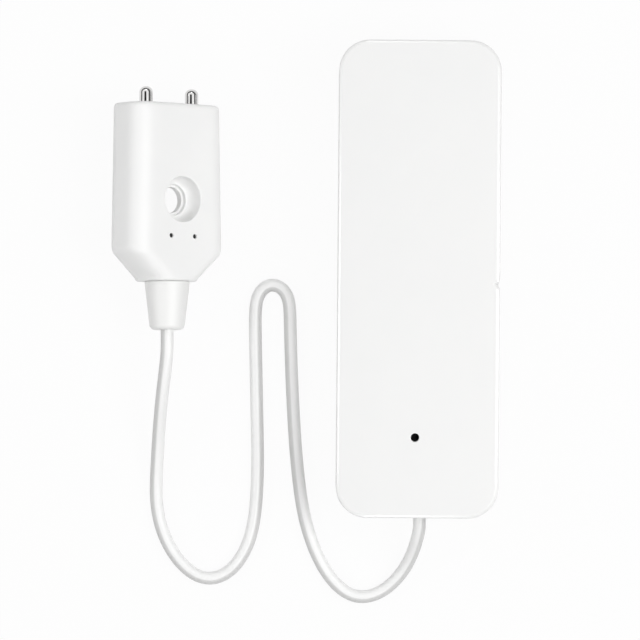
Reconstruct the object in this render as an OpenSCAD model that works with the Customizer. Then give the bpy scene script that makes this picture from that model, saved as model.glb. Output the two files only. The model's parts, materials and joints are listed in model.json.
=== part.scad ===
// Water leak sensor: a two-cell case with a reset pinhole, a lead, and a probe with two sensing pins.
// Sizes are millimetres. The case lies on its back with its face up (+Z) and its top end towards +Y.
// The origin is the middle of the case's back face. The case is worked out round the cells that it holds.

/* [Cells] */
// Diameter of one AAA cell over its sleeve
cell_d = 10.4; // [10:0.1:10.8]
// Length of one cell over its nub
cell_l = 44.5; // [43:0.1:46]
// Diameter of a cell's positive nub
nub_d = 3.8; // [3:0.1:4.4]
// Length of a cell's positive nub
nub_l = 1.0; // [0.6:0.1:1.4]
// Thickness of a cell's sleeve
sleeve_t = 0.12; // [0.1:0.01:0.2]
// Width of the bare rim at each end of a cell
bare_rim = 0.6; // [0.4:0.1:1.2]
// Gap between the two cells
cell_gap = 0.3; // [0.2:0.05:0.8]
// Gap from a cell to the side wall
cell_side_gap = 0.35; // [0.3:0.05:0.8]
// Gap from the cells up to the inside of the face
cell_top_gap = 0.3; // [0.2:0.05:1]

/* [Contacts] */
// Thickness of the contact plates
contact_t = 0.3; // [0.2:0.05:0.5]
// Diameter of the contact plates
contact_d = 8.8; // [7:0.1:9.4]
// Height of the strip that joins the two plates of the bridge
bridge_h = 4.4; // [2:0.1:5]
// Length of a contact spring with its cell in place
spring_l = 3.0; // [2.8:0.1:4]
// Diameter of the spring wire
spring_wire = 0.5; // [0.4:0.05:0.55]
// Middle diameter of a spring's turn at its plate
spring_base_d = 6.4; // [6:0.1:7.5]
// Middle diameter of a spring's turn at the cell
spring_tip_d = 3.4; // [2.6:0.1:3.6]
// Turns of a spring
spring_turns = 3; // [2:1:3]

/* [Case] */
// Thickness of the side walls
side_wall = 1.6; // [1.5:0.1:2.4]
// Thickness of the face
face_wall = 1.6; // [1.2:0.1:2.4]
// Thickness of the back
back_wall = 1.5; // [1.3:0.1:2.4]
// Radius of the case's upright corners
corner_r = 4.8; // [3.5:0.1:6]
// Radius along the edge of the face
face_edge_r = 0.6; // [0.3:0.1:1]
// Radius along the edge of the back
back_edge_r = 0.8; // [0.3:0.1:1.2]
// Height of the seam above the back
seam_z = 9; // [8.6:0.1:11]
// Gap that shows along the seam
seam_gap = 0.2; // [0.1:0.05:0.4]
// Height of the lip inside the seam
lip_h = 1.9; // [1.2:0.1:2.6]
// Thickness of the cover's skirt outside the lip
skirt_t = 0.9; // [0.8:0.05:1]
// Gap between the lip and the skirt
lip_gap = 0.08; // [0.05:0.01:0.15]
// Length of the bay that holds the board's parts
bay_l = 19.3; // [19:0.1:26]
// Gap from the battery tray to the top wall
tray_end_gap = 0.5; // [0.3:0.1:1.5]
// Depth of the pry notch in the cover's right edge
notch_depth = 0.55; // [0.3:0.05:0.6]
// Length of the pry notch above its deepest line
notch_up = 0.4; // [0.2:0.05:1]
// Length of the pry notch below its deepest line
notch_down = 0.7; // [0.2:0.05:1.5]
// Place of the pry notch along the case
notch_y = -0.7; // [-8:0.1:8]
// Thickness of the cover's stiffening rib
rib_t = 1.2; // [0.8:0.1:1.6]
// Depth of the cover's stiffening rib
rib_h = 2.0; // [1:0.1:2.4]

/* [Reset switch] */
// Diameter of the pinhole in the face
pinhole_d = 1.3; // [0.9:0.1:1.8]
// Distance of the pinhole from the case's bottom end
pinhole_from_end = 12.4; // [12:0.1:13]
// Distance of the pinhole from the middle line
pinhole_x = -0.4; // [-1:0.1:0.4]
// Thickness of the guide tube behind the pinhole
guide_wall = 0.9; // [0.6:0.1:1.5]
// Gap from the guide tube to the button
guide_gap = 0.5; // [0.3:0.1:1]
// Width of the switch's square body
switch_w = 6.0; // [5:0.1:6.4]
// Height of the switch's body
switch_body_h = 3.5; // [3:0.1:4.5]
// Height from the board to the top of the button
switch_h = 9.5; // [7:0.1:10.5]
// Thickness of the switch's top plate
switch_plate_t = 0.3; // [0.2:0.05:0.5]
// Diameter of the button
button_d = 3.5; // [2.8:0.1:4]
// Length of the button held inside the switch
button_in = 1.5; // [1:0.1:1.8]
// Travel of the button
button_travel = 0.25; // [0.15:0.05:0.5]
// Gap round the button
button_gap = 0.06; // [0.04:0.01:0.1]

/* [Board] */
// Thickness of the main board
board_t = 1.0; // [0.6:0.1:1.6]
// Height of the posts under the board
standoff_h = 1.1; // [0.9:0.1:2]
// Gap round the edge of the board
board_gap = 0.5; // [0.3:0.1:0.9]
// Plastic under the cells in the battery tray
tray_floor = 1.0; // [0.7:0.1:1.6]
// Gap between a cell and its trough
cell_seat = 0.1; // [0.05:0.05:0.25]
// Thickness of the tray's end walls
tray_end = 1.2; // [0.9:0.1:2]
// Height of the tray's sides above the board
tray_side_h = 3.6; // [2.6:0.1:4.2]
// Height of the tray's end walls above the middle of the cells
tray_end_h = 4.4; // [3:0.1:4.8]
// Diameter of the posts under the board
post_d = 4.4; // [3.6:0.1:5]
// Diameter of the pegs that locate the board and the tray
peg_d = 2.0; // [1.4:0.1:2.2]
// Height of the pegs above the board
peg_h = 1.6; // [0.8:0.1:2]
// Distance between the pegs
peg_pitch = 32; // [16:1:38]
// Diameter of the screws' shanks
screw_d = 1.6; // [1.4:0.1:2]
// Length of the screws under their heads
screw_l = 2.6; // [2.2:0.1:3]
// Diameter of the screws' heads
screw_head_d = 3.4; // [2.8:0.1:3.8]
// Height of the screws' heads
screw_head_h = 1.2; // [0.8:0.1:1.6]
// Side of the radio chip
chip_w = 5.0; // [3:0.1:5.4]
// Height of the radio chip
chip_h = 0.85; // [0.6:0.05:1.2]
// Length of the wire header
header_l = 3.8; // [3.4:0.1:4.4]
// Width of the wire header
header_w = 5.0; // [4.4:0.1:5.4]
// Height of the wire header
header_h = 3.2; // [2.8:0.1:4]
// Thickness of the wire header's walls
header_wall = 0.5; // [0.4:0.05:0.7]
// Length of the plug that stands out of the header
plug_out = 1.2; // [0.6:0.1:1.6]
// Distance between the plug's wires
plug_pitch = 1.5; // [1.25:0.05:2]

/* [Lead] */
// Diameter of the lead
cable_d = 2.0; // [1.6:0.1:2.4]
// Diameter of the lead's cores
core_d = 0.8; // [0.6:0.05:0.85]
// Distance between the cores in the lead
core_pitch = 0.92; // [0.9:0.01:1.1]
// Distance of the lead's exit from the middle line
exit_x = 0.6; // [-2:0.1:2]
// Diameter of the grommet in the wall
grommet_d = 3.6; // [3:0.1:4]
// Diameter of the grommet's inner flange
flange_d = 4.6; // [4.2:0.1:5.4]
// Thickness of the grommet's inner flange
flange_t = 0.8; // [0.5:0.1:1]
// Length of the lead inside the bay
cable_in = 5.0; // [4.5:0.1:6]
// Width of the cable tie
tie_w = 1.6; // [1.2:0.1:2]
// Thickness of the cable tie
tie_t = 0.7; // [0.5:0.1:1]
// Side of the cable tie's head
tie_head = 2.4; // [2:0.1:3]

/* [Probe] */
// Width of the probe
probe_w = 18.2; // [17.4:0.1:22]
// Thickness of the probe
probe_t = 8.0; // [7.4:0.1:11]
// Length of the probe's shell
probe_l = 27.5; // [26.5:0.1:36]
// Radius of the probe's long edges at the back
probe_r = 2.5; // [1.5:0.1:3]
// Radius of the probe's long edges at the front
probe_face_r = 3.0; // [2:0.1:3.2]
// How far each side leans in towards the probe's top end
probe_draft = 0.45; // [0:0.05:0.6]
// Radius round the probe's top end
probe_edge_r = 0.7; // [0.3:0.1:1.2]
// Length of the taper at the lead's end
taper_l = 4.5; // [3.5:0.1:6]
// Radius where the taper starts
taper_r = 2.0; // [1:0.1:3]
// Width of the probe at the end of its taper
tip_w = 8.0; // [7.6:0.1:11]
// Thickness of the probe's front wall
probe_front = 1.4; // [1:0.1:1.8]
// Thickness of the probe's top wall
probe_top = 1.8; // [1.2:0.1:2.4]
// Thickness of the probe's side walls
probe_side = 2.5; // [2.2:0.1:2.8]
// Thickness of the probe's back plate
back_plate_t = 1.2; // [0.8:0.1:1.6]
// Thickness of the probe's board
probe_board_t = 0.8; // [0.6:0.1:1.2]
// Distance of the screw hole from the probe's top end
hole_from_top = 14.9; // [14:0.1:15.4]
// Diameter of the seat for a screw's head
seat_d = 7.0; // [6:0.1:8]
// Depth of the seat for a screw's head
seat_depth = 2.4; // [1.8:0.1:2.6]
// Radius between the seat's wall and its floor
seat_r = 0.5; // [0.2:0.05:0.8]
// Diameter of the step below the seat
step_d = 4.8; // [4.5:0.1:5.6]
// Depth of the step below the seat
step_depth = 0.6; // [0.3:0.1:1]
// Diameter of the screw hole
screw_hole_d = 4.0; // [3.4:0.1:4.4]
// Thickness of the web that the screw clamps
web_t = 1.65; // [1.4:0.05:2.2]
// Diameter of the flared relief at the web
relief_d = 5.8; // [5:0.1:6.4]
// Diameter of the flared relief at the probe's back
relief_back_d = 10.8; // [8:0.1:11]
// Thickness of the boss round the relief
boss_wall = 0.8; // [0.6:0.1:1]
// Diameter of the sensing pins
pin_d = 2.1; // [1.4:0.1:2.3]
// Length of a pin outside the shell
pin_out = 2.6; // [1.4:0.1:5]
// Radius round a pin's end
pin_round = 0.95; // [0.3:0.05:1]
// Distance between the pins
pin_pitch = 9.0; // [6:0.1:9.4]
// Distance of the pins in front of the probe's middle
pin_z = 0.4; // [0.2:0.1:0.8]
// Width of the flange that holds a pin inside the wall
pin_flange = 0.3; // [0.2:0.05:0.5]
// Distance between the two face contacts
face_pitch = 4.6; // [3.6:0.1:6.4]
// Distance of the face contacts below the screw hole
face_below_hole = 5.7; // [5.6:0.1:6]
// Diameter of the holes for the face contacts
face_hole_d = 0.75; // [0.6:0.05:1]
// Depth of the face contacts' tips below the face
face_recess = 0.25; // [0.1:0.05:0.6]
// Length of the strain relief
boot_l = 7.5; // [5:0.1:14]
// Diameter of the strain relief at the probe
boot_base_d = 7.0; // [6:0.1:7.4]
// Diameter of the strain relief at the lead
boot_tip_d = 5.5; // [4:0.1:6]
// Radius round the strain relief's end
boot_edge_r = 0.8; // [0.3:0.1:1]
// Diameter of the strain relief's neck in the shell
neck_d = 4.6; // [4:0.1:5]

/* [Lie of the probe] */
// Place of the probe's middle across the case
probe_x = -39.0; // [-50:0.1:-32]
// Place of the probe's middle along the case
probe_y = 13.1; // [0:0.1:20]
// Roll of the probe about its long axis
probe_tilt = 40; // [0:1:45]
// Lift of the probe's lead end
probe_pitch = 2.5; // [0:0.1:5]
// Turn of the probe on the table
probe_turn = 0.5; // [-5:0.1:5]

/* [Fits] */
// Gap round a pin, peg or plug that slides into its seat
slide_gap = 0.05; // [0.03:0.01:0.1]
// Gap round a piece that is pressed or screwed into its seat
close_gap = 0.02; // [0.01:0.01:0.04]

/* [Hidden] */
$fn = 48;

white = [0.93, 0.93, 0.92];
warm_white = [0.90, 0.90, 0.88];
black = [0.10, 0.10, 0.11];
steel = [0.75, 0.75, 0.77];
green = [0.10, 0.36, 0.22];
red = [0.75, 0.12, 0.10];
gold = [0.83, 0.68, 0.30];

// Overlap that lets a cut pass a face
over = 0.5;
// Thickness of a section in the probe's loft
slice_t = 0.01;

// The case, worked out from what lies inside it
inner_w = 2 * (cell_d + cell_side_gap) + cell_gap;
tray_l = 2 * (tray_end + contact_t) + spring_l + cell_l;
inner_l = bay_l + tray_l + tray_end_gap;
body_w = inner_w + 2 * side_wall;
body_l = inner_l + 2 * side_wall;
board_z = back_wall + standoff_h;
board_top = board_z + board_t;
trough_z = board_top + tray_floor;
trough_r = cell_d / 2 + cell_seat;
cell_z = trough_z + trough_r;
inner_top = cell_z + cell_d / 2 + cell_top_gap;
body_t = inner_top + face_wall;
cover_z = seam_z + seam_gap;
lip_top = seam_z + lip_h;
inner_r = corner_r - side_wall;
bay_y = -inner_l / 2;
tray_y = bay_y + bay_l;
tray_top_y = tray_y + tray_l;
tray_mid_y = (tray_y + tray_top_y) / 2;
cell_x = (cell_d + cell_gap) / 2;

// Board and what stands on it
board_w = inner_w - 2 * board_gap;
board_l = inner_l - 2 * board_gap;
board_least_r = 0.5;
board_r = max(inner_r - board_gap, board_least_r);
part_margin = 0.8;
screw_x = board_w / 2 - screw_head_d / 2 - part_margin / 2;
screw_y = tray_y - screw_head_d / 2 - part_margin;
screw_tip_gap = 0.3;
button_y = -body_l / 2 + pinhole_from_end;
button_top = board_top + switch_h;
plate_z = board_top + switch_body_h - switch_plate_t;
switch_r = 0.4;
button_foot = plate_z - button_in;
guide_z = button_top + guide_gap;
leg_w = 0.7;
leg_out = 0.6;
leg_h = 1.0;
leg_pitch = 4.5;
chip_left_share = 4 / 7;
chip_room = board_w / 2 + pinhole_x - switch_w / 2 - leg_out - chip_w;
chip_x = -board_w / 2 + chip_left_share * chip_room + chip_w / 2;
led_l = 2.0;
led_w = 1.25;
led_h = 0.5;
led_lens_h = 0.35;
led_lens_l = 1.2;
led_lens_r = 0.2;
led_x = pinhole_x + switch_w / 2 + led_l / 2 + part_margin;
crystal_l = 3.2;
crystal_w = 2.5;
crystal_h = 0.8;
crystal_y = button_y - chip_w / 2 - part_margin - crystal_w / 2;
capacitor_l = 3.5;
capacitor_w = 2.8;
capacitor_h = 1.9;
capacitor_y = tray_y - part_margin - capacitor_w / 2;
small_l = 1.0;
small_w = 0.5;
small_h = 0.4;
small_pitch = 1.5;
trace_w = 0.5;
trace_t = 0.05;
trace_pitch = 1.2;
trace_h = 2.6;
trace_count = 6;
header_back = 0.8;
header_x = board_w / 2 - part_margin - header_l;
header_mid_z = board_top + header_h / 2;
plug_in = header_l - header_back - slide_gap;
plug_w = header_w - 2 * (header_wall + slide_gap);
plug_h = header_h - 2 * (header_wall + slide_gap);
plug_x = header_x - plug_out;
peg_ys = [tray_mid_y - peg_pitch / 2, tray_mid_y + peg_pitch / 2];

// Lead inside the case
flange_lift = 0.3;
exit_z = board_top + flange_d / 2 + flange_lift;
cable_end_y = bay_y + cable_in;
header_past_lead = 1.5;
header_y = cable_end_y + header_past_lead;
tie_gap = 0.1;
tie_y = bay_y + flange_t + tie_gap + tie_w / 2;

// Cells: the first one's nub points to the bay, the second one's to the case's top end
cell_low_y = tray_y + tray_end + contact_t;
cell_high_y = tray_top_y - tray_end - contact_t;
can_r = cell_d / 2 - sleeve_t - close_gap;
can_l = cell_l - nub_l;
can_edge_r = 0.4;

// Probe, in its own frame: X across, Y towards the pins, Z out of the front
probe_end_y = probe_l / 2;
taper_y = -probe_l / 2 + taper_l;
taper_angle = atan((probe_w - tip_w) / 2 / taper_l);
tip_edge_r = 0.4;
pocket_r = 0.25;
pins_w = pin_pitch + pin_d + 2 * (pin_flange + pocket_r + slide_gap);
pocket_w = max(probe_w - 2 * (max(probe_side, probe_r) + probe_draft), pins_w);
pocket_top_y = probe_end_y - probe_top;
pocket_z = probe_t / 2 - probe_front;
back_z = -probe_t / 2;
hole_y = probe_end_y - hole_from_top;
seat_z = probe_t / 2 - seat_depth;
relief_z = seat_z - web_t;
relief_flare = (relief_back_d - relief_d) / (relief_z - back_z);
probe_plate_z = back_z + back_plate_t;
probe_board_z = -core_d / 2;
boss_foot_z = probe_board_z - probe_board_t - slide_gap;
boss_d = max(seat_d, relief_width(boss_foot_z)) + 2 * boss_wall;
boss_foot_d = relief_width(probe_plate_z) + 2 * boss_wall;
face_y = hole_y - face_below_hole;
face_stem_d = 1.2;
face_stem_room = 0.5;
pocket_low_y = min(taper_y, face_y - face_stem_d / 2 - face_stem_room);
neck_l = pocket_low_y + probe_l / 2;
probe_board_edge = 0.3;
probe_board_end_gap = 0.75;
probe_board_low_y = pocket_low_y + probe_board_end_gap;
pin_flange_t = 0.7;
pin_tail_l = 2.5;
pin_tail_d = 2 * (pin_z - probe_board_z - close_gap);
boot_end_y = -probe_l / 2 - boot_l;
probe_cable_out = 0.15;
probe_cable_y = pocket_low_y + probe_cable_out;
core_below_face = 0.15;
probe_core_l = face_y - core_below_face - probe_cable_y;

// Width of the flared relief at a height
function relief_width(z) = relief_d + relief_flare * (relief_z - z);

// Height at which the probe, rolled and pitched, just clears the table
probe_drop = (probe_w / 2 - probe_r) * sin(probe_tilt) + (probe_t / 2 - probe_r) * cos(probe_tilt) + probe_r;
probe_z = probe_drop * cos(probe_pitch) + probe_end_y * sin(probe_pitch);

// A point on the probe's long axis, in the case's frame
function probe_axis_point(y) = [
    probe_x - y * cos(probe_pitch) * sin(probe_turn),
    probe_y + y * cos(probe_pitch) * cos(probe_turn),
    probe_z - y * sin(probe_pitch)];

// Route of the free lead, from the case's bottom wall to the strain relief
straight_out = 2.2;
straight_in = 4;
lead_exit = [exit_x, -body_l / 2, exit_z];
lead_points = concat(
    [lead_exit, lead_exit - [0, straight_out / 2, 0], lead_exit - [0, straight_out, 0]],
    [[0.1, -41.2, 4.9], [-0.8, -43.8, 2.9], [-2.4, -46.5, 1.5], [-5, -49, 1.02], [-8.5, -50.1, 1.02],
    [-11.8, -48.6, 1.02], [-14.6, -44.9, 1.02], [-16.5, -40.4, 1.02], [-17.7, -35.9, 1.02],
    [-18.6, -29, 1.02], [-19.2, -21, 1.02], [-19.6, -13, 1.02], [-19.8, -6.5, 1.02],
    [-19.9, -3.4, 1.02], [-20.9, -1.5, 1.02], [-22.6, -0.8, 1.02], [-24.2, -1.5, 1.02], [-25.2, -3.4, 1.02],
    [-25.3, -6.5, 1.02], [-25.1, -13, 1.02], [-24.9, -21, 1.02], [-24.6, -30, 1.02],
    [-25, -38, 1.02], [-26.3, -42.5, 1.02], [-28.7, -46, 1.02], [-32, -47.4, 1.02], [-35.2, -46.2, 1.02],
    [-38, -43.1, 1.02], [-39.8, -39.2, 1.02], [-40.7, -34.8, 1.1], [-40.4, -28.5, 2.3],
    [-40, -22.5, 5.6], [-39.4, -17, 8.6]],
    [probe_axis_point(boot_end_y - straight_in), probe_axis_point(boot_end_y - straight_in / 2),
    probe_axis_point(boot_end_y)]);
lead_steps = 2;
lead_sides = 8;
core_steps = 10;
spring_rings = 8;
spring_sides = 6;

// Uniform cubic B-spline through a list of points, held at its two ends by mirrored end points
function held_ends(p) = concat([2 * p[0] - p[1]], p, [2 * p[len(p) - 1] - p[len(p) - 2]]);
function spline_point(q, i, t) =
    (pow(1 - t, 3) * q[i] + (3 * pow(t, 3) - 6 * t * t + 4) * q[i + 1]
    + (-3 * pow(t, 3) + 3 * t * t + 3 * t + 1) * q[i + 2] + pow(t, 3) * q[i + 3]) / 6;
function spline(p, steps) = let (q = held_ends(p), n = len(p) - 1)
    [for (k = [0 : n * steps])
        let (i = min(floor(k / steps), n - 1))
        spline_point(q, i, k / steps - i)];

// Cubic curve that leaves a and reaches d along the straight lines a-b and c-d
function bend(a, b, c, d, steps) = [for (k = [0 : steps])
    let (t = k / steps)
    pow(1 - t, 3) * a + 3 * pow(1 - t, 2) * t * b + 3 * (1 - t) * t * t * c + pow(t, 3) * d];

function unit(v) = v / norm(v);
function heading(p, i) = unit(p[min(i + 1, len(p) - 1)] - p[max(i - 1, 0)]);

// Round tube along a path, closed at both ends; side is any direction that the path never takes
module tube(path, d, sides, side = [0, 0, 1]) {
    n = len(path);
    rings = [for (i = [0 : n - 1])
        let (along = heading(path, i), across = unit(cross(along, side)), up = cross(across, along))
        for (k = [0 : sides - 1])
            path[i] + d / 2 * (across * cos(360 * k / sides) + up * sin(360 * k / sides))];
    walls = [for (i = [0 : n - 2]) for (k = [0 : sides - 1])
        let (a = i * sides + k, b = i * sides + (k + 1) % sides)
        each [[a, b + sides, b], [a, a + sides, b + sides]]];
    first_cap = [for (k = [1 : sides - 2]) [0, k, k + 1]];
    last_cap = [for (k = [1 : sides - 2])
        [(n - 1) * sides, (n - 1) * sides + k + 1, (n - 1) * sides + k]];
    polyhedron(rings, concat(walls, first_cap, last_cap));
}

// Rectangle with round corners, in the plane
module rounded_plate(w, l, r) {
    square([w - 2 * r, l], center = true);
    square([w, l - 2 * r], center = true);
    for (sx = [-1, 1]) {
        for (sy = [-1, 1]) {
            translate([sx * (w / 2 - r), sy * (l / 2 - r)]) circle(r);
        }
    }
}

// Carries a wall's section round a rectangle with round corners; the section's X is measured outwards
// from the centre of a corner and its Y is height
module carry_round(w, l, r) {
    for (turn = [0, 180]) {
        rotate(turn) translate([w / 2 - r, 0, 0]) rotate([90, 0, 0])
            linear_extrude(l - 2 * r, center = true) children();
        rotate(turn + 90) translate([l / 2 - r, 0, 0]) rotate([90, 0, 0])
            linear_extrude(w - 2 * r, center = true) children();
    }
    for (sx = [-1, 1]) {
        for (sy = [-1, 1]) {
            translate([sx * (w / 2 - r), sy * (l / 2 - r), 0])
                rotate(sx > 0 ? (sy > 0 ? 0 : 270) : (sy > 0 ? 90 : 180))
                    rotate_extrude(angle = 90) children();
        }
    }
}

// What is cut from a square corner at the origin, in the quarter towards -X and -Y, to round it
module corner_cut(r) {
    difference() {
        translate([-r, -r]) square(r + over);
        translate([-r, -r]) circle(r);
    }
}

module along_y(y) {
    translate([0, y, 0]) rotate([-90, 0, 0]) children();
}

module place_probe() {
    translate([probe_x, probe_y, probe_z])
        rotate([0, 0, probe_turn]) rotate([-probe_pitch, 0, 0]) rotate([0, probe_tilt, 0]) children();
}

// Case

module cover_section() {
    difference() {
        union() {
            translate([0, inner_top]) square([corner_r, face_wall]);
            translate([inner_r, lip_top]) square([side_wall, body_t - lip_top]);
            translate([corner_r - skirt_t, cover_z]) square([skirt_t, body_t - cover_z]);
        }
        translate([corner_r, body_t]) corner_cut(face_edge_r);
    }
}

module pry_notch() {
    reach = 2;
    deepest = body_w / 2 - notch_depth;
    translate([0, 0, cover_z - over]) linear_extrude(body_t - cover_z + 2 * over)
        polygon([[deepest, notch_y],
            [deepest + reach * notch_depth, notch_y + reach * notch_up],
            [deepest + reach * notch_depth, notch_y - reach * notch_down]]);
}

module front_cover() {
    color(white) difference() {
        union() {
            carry_round(body_w, body_l, corner_r) cover_section();
            translate([0, 0, inner_top]) linear_extrude(face_wall)
                square([body_w - 2 * corner_r, body_l - 2 * corner_r], center = true);
            translate([0, tray_mid_y, inner_top - rib_h]) linear_extrude(rib_h)
                square([rib_t, tray_l - 2 * cell_d], center = true);
            translate([pinhole_x, button_y, guide_z])
                cylinder(h = inner_top - guide_z, d = pinhole_d + 2 * guide_wall);
        }
        translate([pinhole_x, button_y, guide_z - over])
            cylinder(h = body_t - guide_z + 2 * over, d = pinhole_d);
        pry_notch();
    }
}

module housing_section() {
    difference() {
        union() {
            square([corner_r, back_wall]);
            translate([inner_r, 0]) square([side_wall, seam_z]);
            translate([inner_r, 0]) square([side_wall - skirt_t - lip_gap, lip_top]);
        }
        translate([corner_r, 0]) mirror([0, 1]) corner_cut(back_edge_r);
    }
}

module board_posts() {
    for (sx = [-1, 1]) {
        translate([sx * screw_x, screw_y, back_wall - over]) cylinder(h = standoff_h + over, d = post_d);
    }
    for (y = peg_ys) {
        translate([0, y, back_wall - over]) cylinder(h = standoff_h + over, d = post_d);
        translate([0, y, back_wall - over]) cylinder(h = standoff_h + over + board_t + peg_h, d = peg_d);
    }
}

module rear_housing() {
    color(white) difference() {
        union() {
            carry_round(body_w, body_l, corner_r) housing_section();
            linear_extrude(back_wall)
                square([body_w - 2 * corner_r, body_l - 2 * corner_r], center = true);
            board_posts();
        }
        for (sx = [-1, 1]) {
            translate([sx * screw_x, screw_y, board_top - screw_l - screw_tip_gap])
                cylinder(h = screw_l, d = screw_d + 2 * close_gap);
        }
        translate([exit_x, 0, exit_z]) along_y(-body_l / 2 - over)
            cylinder(h = side_wall + 2 * over, d = grommet_d);
    }
}

// Board and its parts

module main_board() {
    color(green) translate([0, 0, board_z]) linear_extrude(board_t) difference() {
        rounded_plate(board_w, board_l, board_r);
        for (sx = [-1, 1]) {
            translate([sx * screw_x, screw_y]) circle(d = screw_d + 4 * slide_gap);
        }
        for (y = peg_ys) {
            translate([0, y]) circle(d = peg_d + 2 * slide_gap);
        }
    }
}

module on_board(x, y) {
    translate([x, y, board_top]) children();
}

module radio_chip() {
    dot_d = 0.6;
    dot_in = 0.9;
    dot_depth = 0.05;
    color(black) on_board(chip_x, button_y) difference() {
        linear_extrude(chip_h) square(chip_w, center = true);
        translate([dot_in - chip_w / 2, chip_w / 2 - dot_in, chip_h - dot_depth])
            cylinder(h = dot_depth + over, d = dot_d);
    }
}

module crystal() {
    base_h = 0.3;
    rim = 0.25;
    color(steel) on_board(chip_x, crystal_y) {
        linear_extrude(base_h) rounded_plate(crystal_l, crystal_w, rim);
        linear_extrude(crystal_h) rounded_plate(crystal_l - 2 * rim, crystal_w - 2 * rim, rim);
    }
}

// Printed aerial: a strip that winds to and fro along the board's lower left edge
module antenna() {
    first_x = -board_w / 2 + board_r;
    low_y = -board_l / 2 + part_margin;
    color(gold) on_board(first_x, low_y) linear_extrude(trace_t) {
        for (i = [0 : trace_count - 1]) {
            translate([i * trace_pitch, 0]) square([trace_w, trace_h]);
        }
        for (i = [0 : trace_count - 2]) {
            translate([i * trace_pitch, i % 2 == 0 ? trace_h - trace_w : 0])
                square([trace_pitch + trace_w, trace_w]);
        }
    }
}

module capacitor() {
    foot = 0.4;
    foot_w = 2.2;
    color(gold) on_board(0, capacitor_y) {
        translate([0, 0, foot]) linear_extrude(capacitor_h - foot)
            square([capacitor_l - 2 * foot, capacitor_w], center = true);
        linear_extrude(capacitor_h / 2) square([capacitor_l, foot_w], center = true);
    }
}

module small_components() {
    row_y = button_y + switch_w / 2 + part_margin;
    right_x = pinhole_x + switch_w / 2 + part_margin + small_w;
    color([0.45, 0.38, 0.30]) {
        for (i = [0 : 3]) {
            on_board(right_x + i * small_pitch, row_y - 2 * small_w) linear_extrude(small_h)
                square([small_w, small_l], center = true);
        }
        for (i = [0 : 2]) {
            on_board(chip_x + (i - 1) * small_pitch, button_y + chip_w / 2 + part_margin)
                linear_extrude(small_h) square([small_l, small_w], center = true);
        }
    }
}

module led_base() {
    color(white) on_board(led_x, button_y) linear_extrude(led_h) square([led_l, led_w], center = true);
}

module led_lens() {
    color([0.85, 0.95, 0.80, 0.7]) on_board(led_x, button_y) translate([0, 0, led_h])
        linear_extrude(led_lens_h) rounded_plate(led_lens_l, led_w, led_lens_r);
}

module switch_body() {
    bed = button_foot - button_travel - slide_gap;
    color(black) difference() {
        on_board(pinhole_x, button_y) linear_extrude(plate_z - board_top)
            rounded_plate(switch_w, switch_w, switch_r);
        translate([pinhole_x, button_y, bed])
            cylinder(h = plate_z - bed + over, d = button_d + 2 * button_gap);
    }
}

module switch_plate() {
    color(steel) translate([pinhole_x, button_y, plate_z]) linear_extrude(switch_plate_t) difference() {
        rounded_plate(switch_w, switch_w, switch_r);
        circle(d = button_d + 2 * button_gap);
    }
}

module switch_legs() {
    color(steel) {
        for (sx = [-1, 1]) {
            for (sy = [-1, 1]) {
                on_board(pinhole_x + sx * (switch_w + leg_out) / 2, button_y + sy * leg_pitch / 2)
                    linear_extrude(leg_h) square([leg_out, leg_w], center = true);
            }
        }
    }
}

module reset_button() {
    edge_r = 0.3;
    color(black) translate([pinhole_x, button_y, button_foot]) rotate_extrude() difference() {
        square([button_d / 2, button_top - button_foot]);
        translate([button_d / 2, button_top - button_foot]) corner_cut(edge_r);
    }
}

module board_screws() {
    slot_w = 0.5;
    slot_l = 2.0;
    slot_depth = 0.6;
    edge_r = 0.4;
    color(steel) {
        for (sx = [-1, 1]) {
            translate([sx * screw_x, screw_y, board_top]) difference() {
                rotate_extrude() difference() {
                    union() {
                        square([screw_head_d / 2, screw_head_h]);
                        translate([0, -screw_l]) square([screw_d / 2, screw_l + screw_head_h]);
                    }
                    translate([screw_head_d / 2, screw_head_h]) corner_cut(edge_r);
                }
                translate([0, 0, screw_head_h - slot_depth]) linear_extrude(slot_depth + over) {
                    square([slot_w, slot_l], center = true);
                    square([slot_l, slot_w], center = true);
                }
            }
        }
    }
}

module wire_header() {
    color(warm_white) difference() {
        on_board(header_x + header_l / 2, header_y) linear_extrude(header_h)
            square([header_l, header_w], center = true);
        translate([header_x - over, header_y - header_w / 2 + header_wall, board_top + header_wall])
            cube([header_l - header_back + over, header_w - 2 * header_wall, header_h - 2 * header_wall]);
    }
}

module wire_plug() {
    key_w = 1.2;
    key_depth = 0.3;
    color(white) difference() {
        translate([plug_x, header_y - plug_w / 2, header_mid_z - plug_h / 2])
            cube([plug_out + plug_in, plug_w, plug_h]);
        translate([plug_x - over, header_y - key_w / 2, header_mid_z + plug_h / 2 - key_depth])
            cube([plug_out + over, key_w, key_depth + over]);
    }
}

// Each core leaves the lead and enters the plug along a short straight
module core_wires() {
    lift_off = [1.0, 2.0];
    run_in = [1.8, 2.2];
    straight = 0.2;
    for (i = [0, 1]) {
        from = [exit_x + (0.5 - i) * core_pitch, cable_end_y, exit_z];
        to = [plug_x, header_y + (i - 0.5) * plug_pitch, header_mid_z];
        start = from + [0, straight, 0];
        finish = to - [straight, 0, 0];
        middle = bend(start, start + [0, lift_off[i], 0], finish - [run_in[i], 0, 0], finish, core_steps);
        color(i == 0 ? black : red) tube(concat([from], middle, [to]), core_d, lead_sides);
    }
}

// Cells and their contacts

module tray_outline() {
    translate([0, tray_mid_y]) rounded_plate(board_w, tray_l, board_r);
}

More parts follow.
